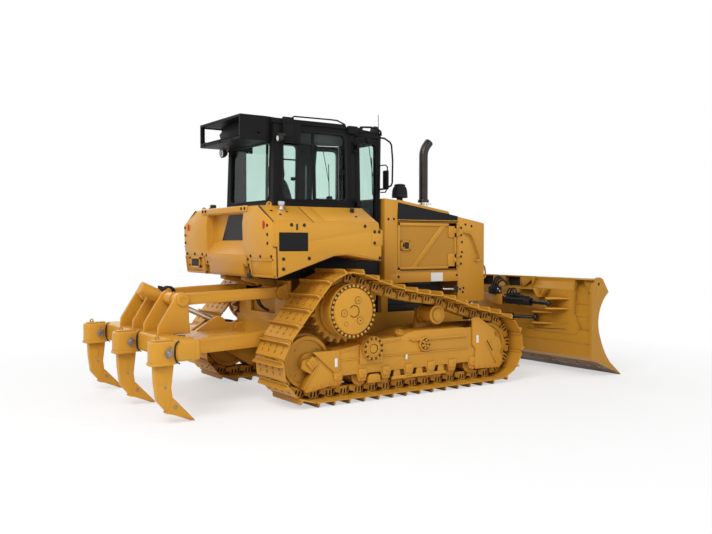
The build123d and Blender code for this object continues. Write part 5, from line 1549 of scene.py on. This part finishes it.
def hood_handles(y):
    out = y - 0.03
    grab = [(2.69, y, 1.826), (2.692, out, 1.828), (2.745, out, 1.828), (2.79, out, 1.812),
        (2.822, out, 1.78), (2.958, out, 1.512), (2.958, out, 1.484), (2.935, out, 1.47),
        (2.89, out, 1.468), (2.888, y, 1.468)]
    loop = [(3.045, -0.4, 1.405), (3.09, -0.4, 1.41), (3.125, -0.4, 1.385), (3.145, -0.4, 1.31),
        (3.146, -0.4, 1.262), (3.128, -0.4, 1.238), (3.045, -0.4, 1.236)]
    rims = [slab(2.592, 2.606, y - 0.006, y + 0.004, 1.365, 1.985, 0.002),
        slab(1.45, 1.61, y - 0.001, y + 0.003, 1.32, 2.205, 0.003),
        plate([(1.628, 1.352), (2.586, 1.352), (2.586, 1.344), (1.628, 1.344)], "Y", y - 0.008, y + 0.002,
        0.002), plate([(1.628, 1.972), (2.586, 1.972), (2.586, 1.979), (1.628, 1.979)], "Y", y - 0.006,
        y + 0.002, 0.002)]
    lid = plate([(1.64, 2.16), (1.64, 2.214), (1.652, 2.218), (2.44, 2.096), (2.465, 2.06)], "Y", y + 0.006,
        -y - 0.006, 0.006, 3)
    finished(joined([on_both_sides([pipe(grab, 0.012, 12, 1)] + rims), pipe(loop, 0.012, 12, 1), lid]),
        "hood_handles_and_rims", "yellow", "yellow_paint", "machine")


def hood_bolts_and_notch_shade(y):
    places = [(x, y, z) for x, z in ((2.649, 1.89), (2.65, 1.797), (2.664, 1.708), (2.664, 1.579),
        (2.648, 1.521), (2.648, 1.431), (2.723, 1.933), (2.827, 1.915), (1.641, 1.283), (2.577, 1.285))]
    heads = [bolt_heads(places, RIGHT, 0.012, 0.009)]
    heads += [
        bolt_heads([(1.486, y, 1.981), (1.568, y, 1.983)], RIGHT, 0.012, 0.008),
        bolt_heads([(2.632, y, 1.104), (2.692, y, 1.117), (2.681, y, 1.064)], RIGHT, 0.012, 0.009),
        # A dark plate painted as shade in the notch beside these bolts.
        plate([(2.52, 1.14), (2.608, 1.14), (2.608, 1.122), (2.598, 1.07), (2.56, 1.07), (2.54, 1.1)], "Y",
            y - 0.002, y + 0.003, 0.001, 1),
    ]
    finished(on_both_sides(heads), "hood_bolts_and_notch_shade", "dark", "black_paint", "machine")
    rods = on_both_sides([bar((2.36, y + 0.018, 1.112), (2.6, y + 0.018, 1.105), 0.014, 16)])
    finished(rods, "hood_prop_rods", "chrome", "chrome_rod", "machine")


def exhaust_stack():
    """The exhaust: foot, collar, straight run and a bend that points its open end forward."""
    x, y = 2.392, -0.02
    bend_z, bend_r, lean, run = 2.83, 0.22, math.radians(42), 0.055
    line = [(x, y, z) for z in (2.25, 2.42, 2.6, bend_z)]
    line += [(x + bend_r * (1 - math.cos(lean * i / 8)), y, bend_z + bend_r * math.sin(lean * i / 8))
        for i in range(1, 9)]
    tip = (line[-1][0] + run * math.sin(lean), y, line[-1][2] + run * math.cos(lean))
    line.append(tip)
    tube = pipe(line, 0.058, 40, 1)
    bore = pipe([(x + 0.05, y, 2.94), line[-2], (tip[0] + 0.03, y, tip[2] + 0.033)], 0.053, 40, 1)
    tube = cut(tube, bore)
    rounded(tube, 0, 1, 40)
    collar = turned_part([(0, 2.05), (0.068, 2.05), (0.068, 2.14), (0.05, 2.15), (0.05, 2.224),
        (0.072, 2.226), (0.074, 2.231), (0.074, 2.246), (0.07, 2.262), (0.06, 2.266), (0, 2.266)],
        (x, y, 0), UP, 40)
    finished(joined([tube, collar]), "stack_pipe", "stack", "stack_steel", "machine", "exhaust_stack")
    neck = [turned_part([(0.0, 2.146), (0.06, 2.146), (0.062, 2.162), (0.062, 2.196), (0.054, 2.202),
        (0.054, 2.214), (0.06, 2.218), (0.06, 2.228), (0, 2.228)], (x, y, 0), UP, 32)]
    neck.append(bar((x + 0.02, y - 0.075, 2.206), (x + 0.085, y - 0.06, 2.206), 0.007, 10))
    finished(joined(neck), "stack_clamp", "chrome", "chrome_rod", "machine")


def air_cleaner():
    """The intake's neck, its ribbed bowl and rain cap."""
    x, y = 1.978, -0.05
    bowl = turned_part([(0, 2.285), (0.094, 2.285), (0.112, 2.272), (0.118, 2.278), (0.117, 2.29),
        (0.112, 2.3), (0.106, 2.35), (0.098, 2.385), (0.086, 2.41), (0.078, 2.42), (0.084, 2.424),
        (0.08, 2.438), (0.062, 2.446), (0.03, 2.45), (0, 2.45)], (x, y, 0), UP, 48)
    rib = plate([(0.1, 2.296), (0.117, 2.296), (0.112, 2.35), (0.104, 2.385), (0.09, 2.412), (0.08, 2.412)],
        "Y", -0.004, 0.004, 0.002, 1)
    ribs = copies(rib, [shift(x, y, 0) @ Matrix.Rotation(math.radians(a), 4, "Z")
        for a in range(0, 360, 15)])
    neck = turned_part([(0, 2.1), (0.052, 2.1), (0.052, 2.13), (0.045, 2.136), (0.045, 2.286), (0, 2.286)],
        (x, y, 0), UP, 32)
    clamp = turned_part([(0.046, 2.215), (0.051, 2.215), (0.051, 2.235), (0.046, 2.235)], (x, y, 0), UP, 32)
    cleaner = joined([bowl, ribs, neck, clamp])
    for vertex in cleaner.data.vertices:
        vertex.co.x = X0 + x + (vertex.co.x - X0 - x) * 0.87
        vertex.co.y = y + (vertex.co.y - y) * 0.87
    finished(cleaner, "air_cleaner_bowl", "rubber", "black_paint", "machine", "air_cleaner")


class DOZER_OT_hood(bpy.types.Operator):
    """Dresses hood and nose with blank panels, painted shadow strips in the engine doors' gaps, handles,
    rims, bolts, stack and air cleaner
    """
    bl_idname = "dozer.hood"
    bl_label = "Hood and stack"

    def execute(self, context):
        y = -HOOD_HALF
        eased("hood", "hood_skin", "yellow", "yellow_paint", 0.006)
        eased("radiator_guard", "nose_skin", "yellow", "yellow_paint", 0.004)
        panels = [plate([(1.629, 2.186), (1.62, 1.978), (2.584, 1.985), (2.59, 2.037)], "Y", y + 0.001,
            y - 0.004, 0.001, 1)]
        # Strips beside the door: the ones just under and just over its edges are painted shadow in its
        # gaps; the one lower down is a plain dark strip.
        for x0, x1, z0, z1 in ((1.668, 2.58, 1.349, 1.362), (1.777, 2.133, 1.182, 1.204),
                (1.628, 2.59, 1.956, 1.968)):
            panels.append(slab(x0, x1, y - 0.0015, y + 0.003, z0, z1, 0.001, 1))
        finished(on_both_sides(panels), "hood_blank_panels_and_door_gap_shadows", "blank_black", "black_paint", "machine")
        label = slab(2.152, 2.343, y - 0.002, y + 0.002, 1.215, 1.322, 0.001, 1)
        finished(on_both_sides([label]), "hood_blank_plate", "blank_white", "yellow_paint", "machine")
        hood_handles(y)
        hood_bolts_and_notch_shade(y)
        exhaust_stack()
        air_cleaner()
        return {"FINISHED"}


# Blade

BLADE_HALF = 1.636
BACK_X = 3.8


def board():
    """The mouldboard: curved front, box back, bent plate beside the box, end plates with a lifting hole."""
    front = arc_through((4.098, 1.08), (3.925, 0.696), (4.128, 0.19), 28)
    outline = front + [(4.06, 0.16), (3.82, 0.237), (BACK_X, 0.42), (BACK_X, 1.095), (3.87, 1.19),
        (3.87, 1.24), (4.02, 1.24)]
    piece = plate(outline, "Y", -1.6, 1.6, 0)
    bent = [(3.79, 0.578), (3.836, 0.59), (3.83, 0.759), (3.842, 0.917), (3.878, 1.1), (3.925, 1.222),
        (3.79, 1.222)]
    for side in (-1, 1):
        hollow = plate(bent, "Y", *sorted((side * 1.34, side * 1.601)), 0)
        swell = plate([(side * y, z) for y, z in ((1.33, 0.8), (1.34, 0.8), (1.372, 0.72), (1.41, 0.66),
            (1.425, 0.6), (1.418, 0.57), (1.33, 0.56))], "X", 3.78, 3.95, 0)
        piece = cut(piece, cut(hollow, swell))
        pocket = plate([(3.79, 1.1), (3.878, 1.1), (3.925, 1.222), (3.79, 1.222)], "Y",
            *sorted((side * 0.11, side * 0.41)), 0)
        piece = cut(piece, pocket)
        notch = slab(3.79, 3.986, *sorted((side * 1.476, side * 1.601)), 1.119, 1.294, 0)
        piece = cut(piece, notch)
    rounded(piece, 0.004, 2, 24)
    toe = (4.34, 0.02)
    end_line = arc_through(toe, (4.08, 0.25), (3.95, 0.5), 16)
    end_line += arc_through((3.95, 0.5), (3.909, 0.73), (4.103, 1.072), 16)[1:]
    end_line += arc_through((3.992, 1.235), (3.905, 1.262), (3.815, 1.19), 8)
    end_line += [(3.78, 1.12), (3.78, 0.245), (toe[0] - 0.04, toe[1] + 0.01)]
    end = plate(end_line, "Y", -BLADE_HALF, -1.6, 0)
    end = rounded(cut(end, bar((3.911, -1.7, 1.174), (3.911, -1.5, 1.174), 0.022, 24, 0)), 0.003, 2, 30)
    return joined([piece, on_both_sides([end])])


def board_plates():
    """Gussets, guards, doublers and bend lines on the blade's back, the right half's."""
    pieces = []
    for y in (-0.112, -0.41, -0.622, -1.345):
        pieces.append(plate([(3.795, 1.238), (3.79, 1.225), (3.795, 1.11), (3.805, 1.096), (3.872, 1.19),
            (3.872, 1.238)], "Y", y - 0.006, y + 0.006, 0.002))
    pieces += [
        slab(3.788, 3.874, -0.63, -0.104, 1.236, 1.248, 0.003),
        slab(3.788, 3.874, -1.635, -1.335, 1.226, 1.238, 0.003),
        # Webs beside the pockets
        plate([(-0.416, 1.238), (-0.62, 1.238), (-0.6, 1.19), (-0.5, 1.112), (-0.44, 1.112)], "X", 3.792,
            3.802, 0.002),
        plate([(-1.452, 1.228), (-1.6, 1.228), (-1.6, 1.1), (-1.54, 1.06)], "X", 3.83, 3.842, 0.002),
    ]
    # Guard over the tilt rod's eye
    guard = [(-0.42, 1.088), (-0.746, 1.088), (-0.806, 0.996), (-0.862, 0.996), (-0.92, 1.09),
        (-0.946, 1.09), (-0.878, 0.981), (-0.796, 0.981), (-0.738, 1.076), (-0.42, 1.076)]
    pieces.append(plate(guard, "X", 3.69, 3.802, 0.003))
    # Doubler with its swollen end, and its oval plate
    doubler = [(-0.64, 1.07), (-1.325, 1.078), (-1.33, 0.79), (-1.352, 0.705), (-1.392, 0.65),
        (-1.41, 0.59), (-1.396, 0.545), (-1.35, 0.52), (-0.64, 0.52)]
    pieces += [
        plate(doubler, "X", 3.7945, 3.801, 0.003),
        plate(oval(-1.165, 0.685, 0.088, 0.044), "X", 3.789, 3.795, 0.003),
    ]
    # Weld beads along the folds
    for a, b in (((3.7945, -0.54, 0.543), (3.7945, -1.215, 0.574)),
            ((3.799, 0.0, 0.422), (3.799, -1.598, 0.422))):
        pieces.append(bar(a, b, 0.005, 8))
    for z, x in ((0.913, 3.841), (0.759, 3.83)):
        pieces.append(bar((x, -1.345, z), (x, -1.6, z), 0.004, 8))
    return pieces


def blade_works():
    """The tilt cylinder's valve block on the swivel, and the hoses along the cylinder."""
    block = [slab(3.49, 3.6, -0.245, -0.095, 0.998, 1.1, 0.006, 2),
        slab(3.51, 3.58, -0.215, -0.125, 1.095, 1.128, 0.006, 2)]
    for y in (-0.23, -0.19, -0.15):
        block.append(turned_part([(0, 0), (0.016, 0), (0.016, 0.02), (0.011, 0.024), (0.011, 0.045),
            (0, 0.045)], (3.535, y, 1.098), (0, -0.2, 1), 16))
    for y, top in ((-0.23, 1.19), (-0.19, 1.215), (-0.15, 1.235)):
        block.append(pipe([(3.535, y, 1.12), (3.535, y - 0.02, top - 0.02), (3.56, y - 0.07, top),
            (3.6, y - 0.1, top - 0.02), (3.612, y - 0.12, top - 0.06)], 0.012, 10))
    finished(joined(block), "swivel_valve_and_hoses", "rubber", "black_paint", "angle_yoke")
    plugs = [cap(0.02, 0.008, 0.01, 0.012, (3.53 + i * 0.032, -0.244, z), RIGHT, 6)
        for i, z in ((0, 1.062), (1, 1.03))]
    finished(joined(plugs), "swivel_valve_plugs", "chrome", "chrome_rod", "angle_yoke")
    along = Vector((0.04, -0.79, -0.015)).normalized()
    start = Vector(TILT_BASE)
    pieces = []
    for near, far, out, up in ((0.07, 0.5, -0.03, 0.066), (0.07, 0.36, 0.01, 0.074),
            (0.1, 0.44, -0.062, 0.02)):
        places = [start + along * t + Vector((out, 0, up)) for t in (near, (near + far) / 2, far)]
        low = places[-1] + Vector((0, -0.012, -0.03))
        pieces.append(pipe([tuple(place) for place in places] + [tuple(low)], 0.012, 10, 1))
    for t in (0.16, 0.3, 0.43):
        middle = start + along * t
        pieces.append(bar(tuple(middle - along * 0.012), tuple(middle + along * 0.012), 0.06, 24))
    pieces.append(slab(3.548, 3.64, -0.56, -0.47, 0.985, 1.03, 0.006, 2))
    for x in (3.565, 3.62):
        pieces.append(pipe([(x, -0.5, 1.025), (x, -0.5, 1.06), (x - 0.01, -0.47, 1.09),
            (x - 0.02, -0.425, 1.07), (x - 0.02, -0.4, 1.0)], 0.012, 10))
    finished(joined(pieces), "tilt_cylinder_hoses", "rubber", "black_paint", "tilt_barrel")


def blade_edges():
    profile = [(4.132, 0.186), (4.364, 0.003), (4.325, 0.003), (4.062, 0.158)]
    pieces = []
    for y0, y1 in ((-1.6, -1.402), (-1.398, -0.702), (-0.698, -0.002), (0.002, 0.698), (0.702, 1.398),
            (1.402, 1.6)):
        pieces.append(plate(profile, "Y", y0, y1, 0.003))
    end_bit = plate([(4.132, 0.186), (4.364, 0.003), (4.325, 0.003), (4.12, 0.12), (4.1, 0.2)], "Y", -1.634,
        -1.6, 0.003)
    pieces.append(on_both_sides([end_bit]))
    finished(joined(pieces), "cutting_edges", "edge", "track_steel", "blade", "cutting_edge")
    down = (-0.505, 0, -0.863)
    places = []
    for y in [0.1 + 0.2 * i for i in range(7)] + [1.455, 1.545]:
        places += [(4.15, y, 0.1045), (4.15, -y, 0.1045)]
    heads = bolt_heads(places, down, 0.019, 0.014)
    front = bolt_heads([(x + 0.105, y, z + 0.002) for x, y, z in places], (0.62, 0, 0.785), 0.014, 0.004)
    finished(joined([heads, front]), "edge_bolts", "steel", "track_steel", "blade")


class DOZER_OT_blade(bpy.types.Operator):
    """Builds the blade: board, end plates, guards, lug plates, edges and their bolts"""
    bl_idname = "dozer.blade"
    bl_label = "Blade"

    def execute(self, context):
        board_piece = joined([board(), on_both_sides(board_plates())])
        # The board's darker finish is painted shade.
        finished(board_piece, "blade_board", "blade", "yellow_paint", "blade", "blade")
        eased("blade_lugs", "blade_lug_plates", "yellow", "yellow_paint", 0.004)
        # Dark plates painted as shade: one deep in each pocket along the blade's top, and a strip along the
        # doubler's lower weld bead.
        shades = [slab(3.876, 3.884, -0.405, -0.117, 1.108, 1.232, 0.002)]
        shades.append(plate([(-0.72, 0.562), (-1.2, 0.584), (-1.21, 0.57), (-0.72, 0.548)], "X", 3.7925,
            3.796, 0.001, 1))
        finished(on_both_sides(shades), "blade_painted_pocket_shadows", "dark", "black_paint", "blade")
        blade_edges()
        blade_works()
        return {"FINISHED"}


# Ripper

def pin_head(place, radius=0.034, side=-1):
    """A pin's end with its washer, keeper and the clip through it."""
    x, y, z = place
    profile = [(0, 0), (radius * 1.35, 0), (radius * 1.35, 0.006), (radius, 0.009), (radius, 0.03),
        (radius * 0.85, 0.036), (0, 0.036)]
    head = turned_part(profile, (x, y, z), (0, side, 0), 28)
    clip = bar((x - 0.012, y + side * 0.022, z - radius * 1.7),
        (x + 0.014, y + side * 0.022, z + radius * 1.9), 0.006, 10)
    ring_piece = pipe([(x + 0.014, y + side * 0.022, z + radius * 1.8),
        (x + 0.03, y + side * 0.024, z + radius * 2.2), (x + 0.006, y + side * 0.026, z + radius * 2.5),
        (x - 0.006, y + side * 0.024, z + radius * 2.0), (x + 0.014, y + side * 0.022, z + radius * 1.7)],
        0.004, 8)
    return [head, clip, ring_piece]


def shank_marks(y):
    """The raised panel on a shank's side faces."""
    pieces = []
    for side in (-1, 1):
        face = y + side * 0.0375
        low, high = sorted((face, face + side * 0.004))
        pieces.append(plate([(-1.608, 0.49), (-1.54, 0.496), (-1.536, 0.4), (-1.56, 0.368),
            (-1.604, 0.372)], "Y", low, high, 0.002))
    return pieces


def tip_piece(y):
    """A ripper tip: a socket over the shank's toe and a wedge to the point."""
    outline = [(-1.545, 0.1), (-1.47, 0.238), (-1.44, 0.205), (-1.262, 0.018), (-1.254, 0.004),
        (-1.3, 0.01), (-1.48, 0.086)]
    tip = plate(outline, "Y", y - 0.047, y + 0.047, 0)
    middle = X0 - 1.254
    for vertex in tip.data.vertices:
        if vertex.co.x > middle - 0.1:
            vertex.co.y = y + (vertex.co.y - y) * 0.55
    return rounded(tip, 0.005, 2, 30)


def ripper_beam():
    """The beam with its pockets, upright plates, lower link brackets, pins and cross tube."""
    pieces = [common(node_copy("ripper_beam"), slab(-1.256, -1.05, -0.7, 0.7, 0.5, 0.7795, 0))]
    pieces.append(slab(-1.462, -1.254, -1.145, 1.145, 0.582, 0.776, 0.028, 4))
    for side in (-1, 1):
        pieces.append(slab(-1.3, -1.215, *sorted((side * 0.69, side * 1.142)), 0.586, 0.772, 0.028, 4))
    for y in SHANK_YS:
        plan = [(-1.44, y - 0.088), (-1.645, y - 0.091), (-1.68, y - 0.072), (-1.692, y - 0.04),
            (-1.692, y + 0.04), (-1.68, y + 0.072), (-1.645, y + 0.091), (-1.44, y + 0.088)]
        pocket = plate(plan, "Z", 0.562, 0.775, 0.014, 3)
        flare = plate([(x - 0.01 if x < -1.5 else x - 0.05, y + (b - y) * 1.04) for x, b in plan], "Z",
            0.553, 0.582, 0.008, 3)
        slot = slab(-1.666, -1.46, y - 0.041, y + 0.041, 0.5, 0.8, 0)
        mouth = copied(slot)
        pieces += [cut(pocket, slot), cut(flare, mouth)]
        eye = plate([(-1.615, 0.772), (-1.61, 0.812), (-1.59, 0.826), (-1.57, 0.812), (-1.565, 0.772)], "Y",
            y + 0.055, y + 0.071, 0.003)
        pieces.append(cut(eye, bar((-1.59, y, 0.803), (-1.59, y + 0.1, 0.803), 0.01, 16, 0)))
    upright = [(-1.32, 0.74), (-1.435, 0.76), (-1.428, 0.866), (-1.262, 1.13), (-1.24, 1.168),
        (-1.205, 1.19), (-1.165, 1.193), (-1.128, 1.168), (-1.112, 1.12), (-1.105, 0.9), (-1.082, 0.74)]
    over_link = upright[:-1] + [(-1.09, 0.779), (-1.262, 0.779), (-1.262, 0.74)]
    pieces.append(on_both_sides([plate(over_link, "Y", -0.595, -0.555, 0.008, 3),
        plate(upright, "Y", -0.19, -0.15, 0.008, 3)]))
    pin, boss = (-1.176, 1.1165), 0.066
    for side in (-1, 1):
        pieces += [
            bar((pin[0], side * 0.185, pin[1]), (pin[0], side * 0.445, pin[1]), 0.06, 40, 0.003),
            bar((pin[0], side * 0.44, pin[1]), (pin[0], side * 0.56, pin[1]), 0.032, 32, 0.001),
            bar((pin[0], side * 0.39, pin[1]), (pin[0], side * 0.408, pin[1]), 0.074, 40, 0.004),
            turned_part([(0, 0), (boss, 0), (boss, 0.01), (0.058, 0.016), (0.03, 0.017), (0.026, 0.011),
                (0, 0.011)], (pin[0], side * 0.594, pin[1]), (0, side, 0), 32),
        ]
        # Weld beads at the uprights' feet
        for y0, end in ((0.15, -1.11), (0.19, -1.11), (0.555, -1.27), (0.595, -1.27)):
            pieces.append(bar((-1.425, side * y0, 0.779), (end, side * y0, 0.779), 0.007, 8))
    seams = []
    for y in SHANK_YS:
        for side in (-1, 1):
            face = y + side * 0.093
            arc = [(-1.436, face, 0.78), (-1.458, face, 0.768), (-1.474, face, 0.725),
                (-1.478, face, 0.672), (-1.472, face, 0.615), (-1.456, face, 0.578), (-1.43, face, 0.566)]
            seams.append(pipe(arc, 0.0075, 8))
    finished(joined(seams), "ripper_seams", "rubber", "black_paint", "ripper_beam")
    return pieces


def ripper_pins():
    pieces = []
    for y in SHANK_YS:
        for side in (-1, 1):
            pieces += pin_head((-1.538, y + side * 0.098, 0.668), 0.028, side)
            pieces += [
                turned_part([(0, 0), (0.014, 0), (0.014, 0.003), (0, 0.003)],
                    (-1.552, y + side * 0.0375, 0.344), (0, side, 0), 20),
                turned_part([(0.012, 0), (0.018, 0), (0.018, 0.004), (0.012, 0.004)],
                    (-1.458, y + side * 0.047, 0.16), (0, side, 0), 20),
            ]
    finished(joined(pieces), "ripper_pins", "steel", "track_steel", "ripper_beam")
    front = []
    for side in (-1, 1):
        for y in (0.445, 0.555):
            front.append(cap(0.03, 0.012, 0.022, 0.018, (-0.038, side * y, 1.157), (0, side, 0), 24))
        for y in (0.495, 0.625):
            front.append(cap(0.034, 0.01, 0.024, 0.016, (-0.038, side * y, 0.677), (0, side, 0), 24))
    finished(joined(front), "ripper_bracket_pins", "steel", "track_steel", "machine")


def ripper_hoses():
    """The cylinder's two hoses with their fittings on the cross tube."""
    pieces = []
    for y in (-0.028, 0.028):
        route = [(-1.15, y, 1.206), (-1.11, y, 1.228), (-1.06, y, 1.215), (-1.025, y * 0.7, 1.16),
            (-1.02, y * 0.5, 1.1)]
        pieces.append(pipe(route, 0.013, 10))
    for y in (-0.028, 0.028):
        pieces += [
            bar((-1.178, y, 1.192), (-1.14, y, 1.214), 0.018, 6),
            turned_part([(0, 0), (0.018, 0), (0.018, 0.03), (0.013, 0.034), (0.013, 0.06), (0, 0.06)],
                (-1.18, y, 1.176), (-0.2, 0, 1), 16),
        ]
    finished(joined(pieces), "ripper_hoses", "rubber", "black_paint", "ripper_barrel")
    upper = []
    for y, lift in ((-0.26, 0.0), (-0.3, 0.02)):
        upper.append(pipe([(-0.03, y, 1.33), (-0.09, y, 1.29 + lift), (-0.15, y + 0.01, 1.2 + lift),
            (-0.17, y + 0.02, 1.08), (-0.12, y + 0.03, 0.98), (-0.03, y + 0.03, 0.94)], 0.014, 10))
    finished(joined(upper), "ripper_feed_hoses", "rubber", "black_paint", "machine")


class DOZER_OT_ripper(bpy.types.Operator):
    """Dresses the ripper: frames, beam, shanks with tips, pins, clips, cylinder and hoses"""
    bl_idname = "dozer.ripper"
    bl_label = "Ripper"

    def execute(self, context):
        for node, width in (("ripper_bracket", 0.004), ("ripper_upper_links", 0.012),
                ("ripper_lower_frame", 0.008), ("ripper_barrel", 0.004)):
            eased(node, node + "_skin", "yellow", "yellow_paint", width, 3)
        eased("ripper_rod", "ripper_rod_skin", "chrome", "chrome_rod", 0.003)
        beam = ripper_beam()
        finished(joined(beam), "ripper_beam_skin", "yellow", "yellow_paint", "ripper_beam", "ripper_beam")
        shanks = [rounded(node_copy("ripper_shanks"), 0.008, 3, 32)]
        for y in SHANK_YS:
            shanks += shank_marks(y)
            shanks.append(tip_piece(y))
        finished(joined(shanks), "ripper_shanks_and_tips", "yellow", "track_steel", "ripper_beam",
            "ripper_shanks")
        ripper_pins()
        ripper_hoses()
        return {"FINISHED"}


# Nodes whose own shape is right

EASED = (  # node, finish, slot, edge width
    ("main_frame", "works", "frame_dark", 0.006),
    ("engine", "dark", "frame_dark", 0.01),
    ("c_frame", "yellow", "yellow_paint", 0.006),
    ("angle_yoke", "yellow", "yellow_paint", 0.005),
    ("lift_barrels", "dark", "yellow_paint", 0.004),
    ("lift_rods", "chrome", "chrome_rod", 0.003),
    ("angle_gimbal_right", "dark", "yellow_paint", 0.003),
    ("angle_gimbal_left", "dark", "yellow_paint", 0.003),
    ("angle_barrel_right", "dark", "yellow_paint", 0.003),
    ("angle_barrel_left", "dark", "yellow_paint", 0.003),
    # The chrome rods below take the dark stack steel: painted shade for the shadow they stand in.
    ("angle_rod_right", "stack", "chrome_rod", 0.002),
    ("angle_rod_left", "stack", "chrome_rod", 0.002),
    ("tilt_barrel", "rubber", "yellow_paint", 0.003),
    ("tilt_rod", "stack", "chrome_rod", 0.002),
)


class DOZER_OT_eased_nodes(bpy.types.Operator):
    """Rounds the edges of the nodes whose shape is right as it is"""
    bl_idname = "dozer.eased_nodes"
    bl_label = "Nodes with rounded edges"

    def execute(self, context):
        for node, paint, slot, width in EASED:
            eased(node, node + "_skin", paint, slot, width)
        return {"FINISHED"}


# Stage

def seen_share(nodes, links):
    """1 for what the camera sees, also through glass and in reflections."""
    path = nodes.new("ShaderNodeLightPath")
    share = path.outputs["Is Camera Ray"]
    for name in ("Is Glossy Ray", "Is Transmission Ray"):
        most = nodes.new("ShaderNodeMath")
        most.operation = "MAXIMUM"
        links.new(share, most.inputs[0])
        links.new(path.outputs[name], most.inputs[1])
        share = most.outputs[0]
    return share


def studio_world(scene):
    world = bpy.data.worlds.new("studio")
    scene.world = world
    world.use_nodes = True
    nodes, links = world.node_tree.nodes, world.node_tree.links
    lit = nodes["Background"]
    lit.inputs["Color"].default_value = (1, 1, 1, 1)
    lit.inputs["Strength"].default_value = 0.5
    white = nodes.new("ShaderNodeBackground")
    white.inputs["Color"].default_value = (1, 1, 1, 1)
    white.inputs["Strength"].default_value = 1
    mix = nodes.new("ShaderNodeMixShader")
    links.new(seen_share(nodes, links), mix.inputs[0])
    links.new(lit.outputs[0], mix.inputs[1])
    links.new(white.outputs[0], mix.inputs[2])
    links.new(mix.outputs[0], nodes["World Output"].inputs[0])


def floor_finish():
    """Pale ground: its shade shows near the machine and fades to the backdrop's white further off."""
    finish = Finish("floor")
    finish.set(Base_Color=(0.95, 0.95, 0.95, 1), Roughness=0.9)
    finish.shader.inputs["Specular IOR Level"].default_value = 0.0
    nodes, links = finish.material.node_tree.nodes, finish.material.node_tree.links
    white = nodes.new("ShaderNodeEmission")
    white.inputs["Strength"].default_value = 1
    centred = finish.node("ShaderNodeVectorMath", {"operation": "MULTIPLY"})
    links.new(finish.place, centred.inputs[0])
    centred.inputs[1].default_value = (1, 1.1, 0)
    away = finish.node("ShaderNodeVectorMath", {"operation": "LENGTH"})
    links.new(centred.outputs[0], away.inputs[0])
    far = finish.step(Value(finish, away.outputs["Value"]), 3.2, 6.5)
    share = (far * 0.45 + 0.55) * Value(finish, seen_share(nodes, links))
    mix = nodes.new("ShaderNodeMixShader")
    links.new(share.socket, mix.inputs[0])
    links.new(finish.shader.outputs[0], mix.inputs[1])
    links.new(white.outputs[0], mix.inputs[2])
    links.new(mix.outputs[0], nodes["Material Output"].inputs[0])
    return finish.material


class DOZER_OT_stage(bpy.types.Operator):
    """Sets the floor, the light and the camera"""
    bl_idname = "dozer.stage"
    bl_label = "Stage"

    def execute(self, context):
        scene = context.scene
        scene.view_settings.view_transform = "Standard"
        settings = scene.dozer.camera
        deselect()
        bpy.ops.object.camera_add(location=settings.place,
            rotation=(math.pi / 2 - settings.pitch, 0, -settings.azimuth))
        camera = context.object
        camera.name = "view"
        camera.data.lens = settings.lens
        camera.data.sensor_width = 36
        camera.data.clip_end = 200
        scene.camera = camera
        bpy.ops.mesh.primitive_plane_add(size=160)
        floor = context.object
        floor.name = "floor"
        floor.data.materials.append(floor_finish())
        studio_world(scene)
        for name, place, size, power in (("key", (-9, -6, 10), 7, 1080), ("fill", (6, -12, 6), 8, 230),
                ("back", (0, 11, 8), 9, 380)):
            bpy.ops.object.light_add(type="AREA", location=place)
            light = context.object
            light.name = name
            light.data.size = size
            light.data.energy = power
            aim = Vector((0, 0, 1.2)) - Vector(place)
            light.rotation_euler = aim.to_track_quat("-Z", "Y").to_euler()
        return {"FINISHED"}


class DOZER_PT_panel(bpy.types.Panel):
    """Lists the steps that dress the dozer"""
    bl_label = "Dozer"
    bl_idname = "DOZER_PT_panel"
    bl_space_type = "VIEW_3D"
    bl_region_type = "UI"
    bl_category = "Dozer"

    def draw(self, context):
        for step in STEPS:
            self.layout.operator(step.bl_idname)


STEPS = (
    DOZER_OT_finishes,
    DOZER_OT_stage,
    DOZER_OT_tracks,
    DOZER_OT_wheels,
    DOZER_OT_final_drives,
    DOZER_OT_roller_frames,
    DOZER_OT_tank,
    DOZER_OT_cab,
    DOZER_OT_cab_doors,
    DOZER_OT_cabin,
    DOZER_OT_engine_doors,
    DOZER_OT_hood,
    DOZER_OT_blade,
    DOZER_OT_ripper,
    DOZER_OT_eased_nodes,
)
SETTINGS = (PaintSettings, TrackSettings, CameraSettings, DozerSettings)


def register():
    for kind in (*SETTINGS, *STEPS, DOZER_PT_panel):
        bpy.utils.register_class(kind)
    bpy.types.Scene.dozer = bpy.props.PointerProperty(type=DozerSettings)


def unregister():
    del bpy.types.Scene.dozer
    for kind in reversed((*SETTINGS, *STEPS, DOZER_PT_panel)):
        bpy.utils.unregister_class(kind)


def main():
    register()
    for step in STEPS:
        group, name = step.bl_idname.split(".")
        getattr(getattr(bpy.ops, group), name)()


if __name__ == "__main__":
    main()
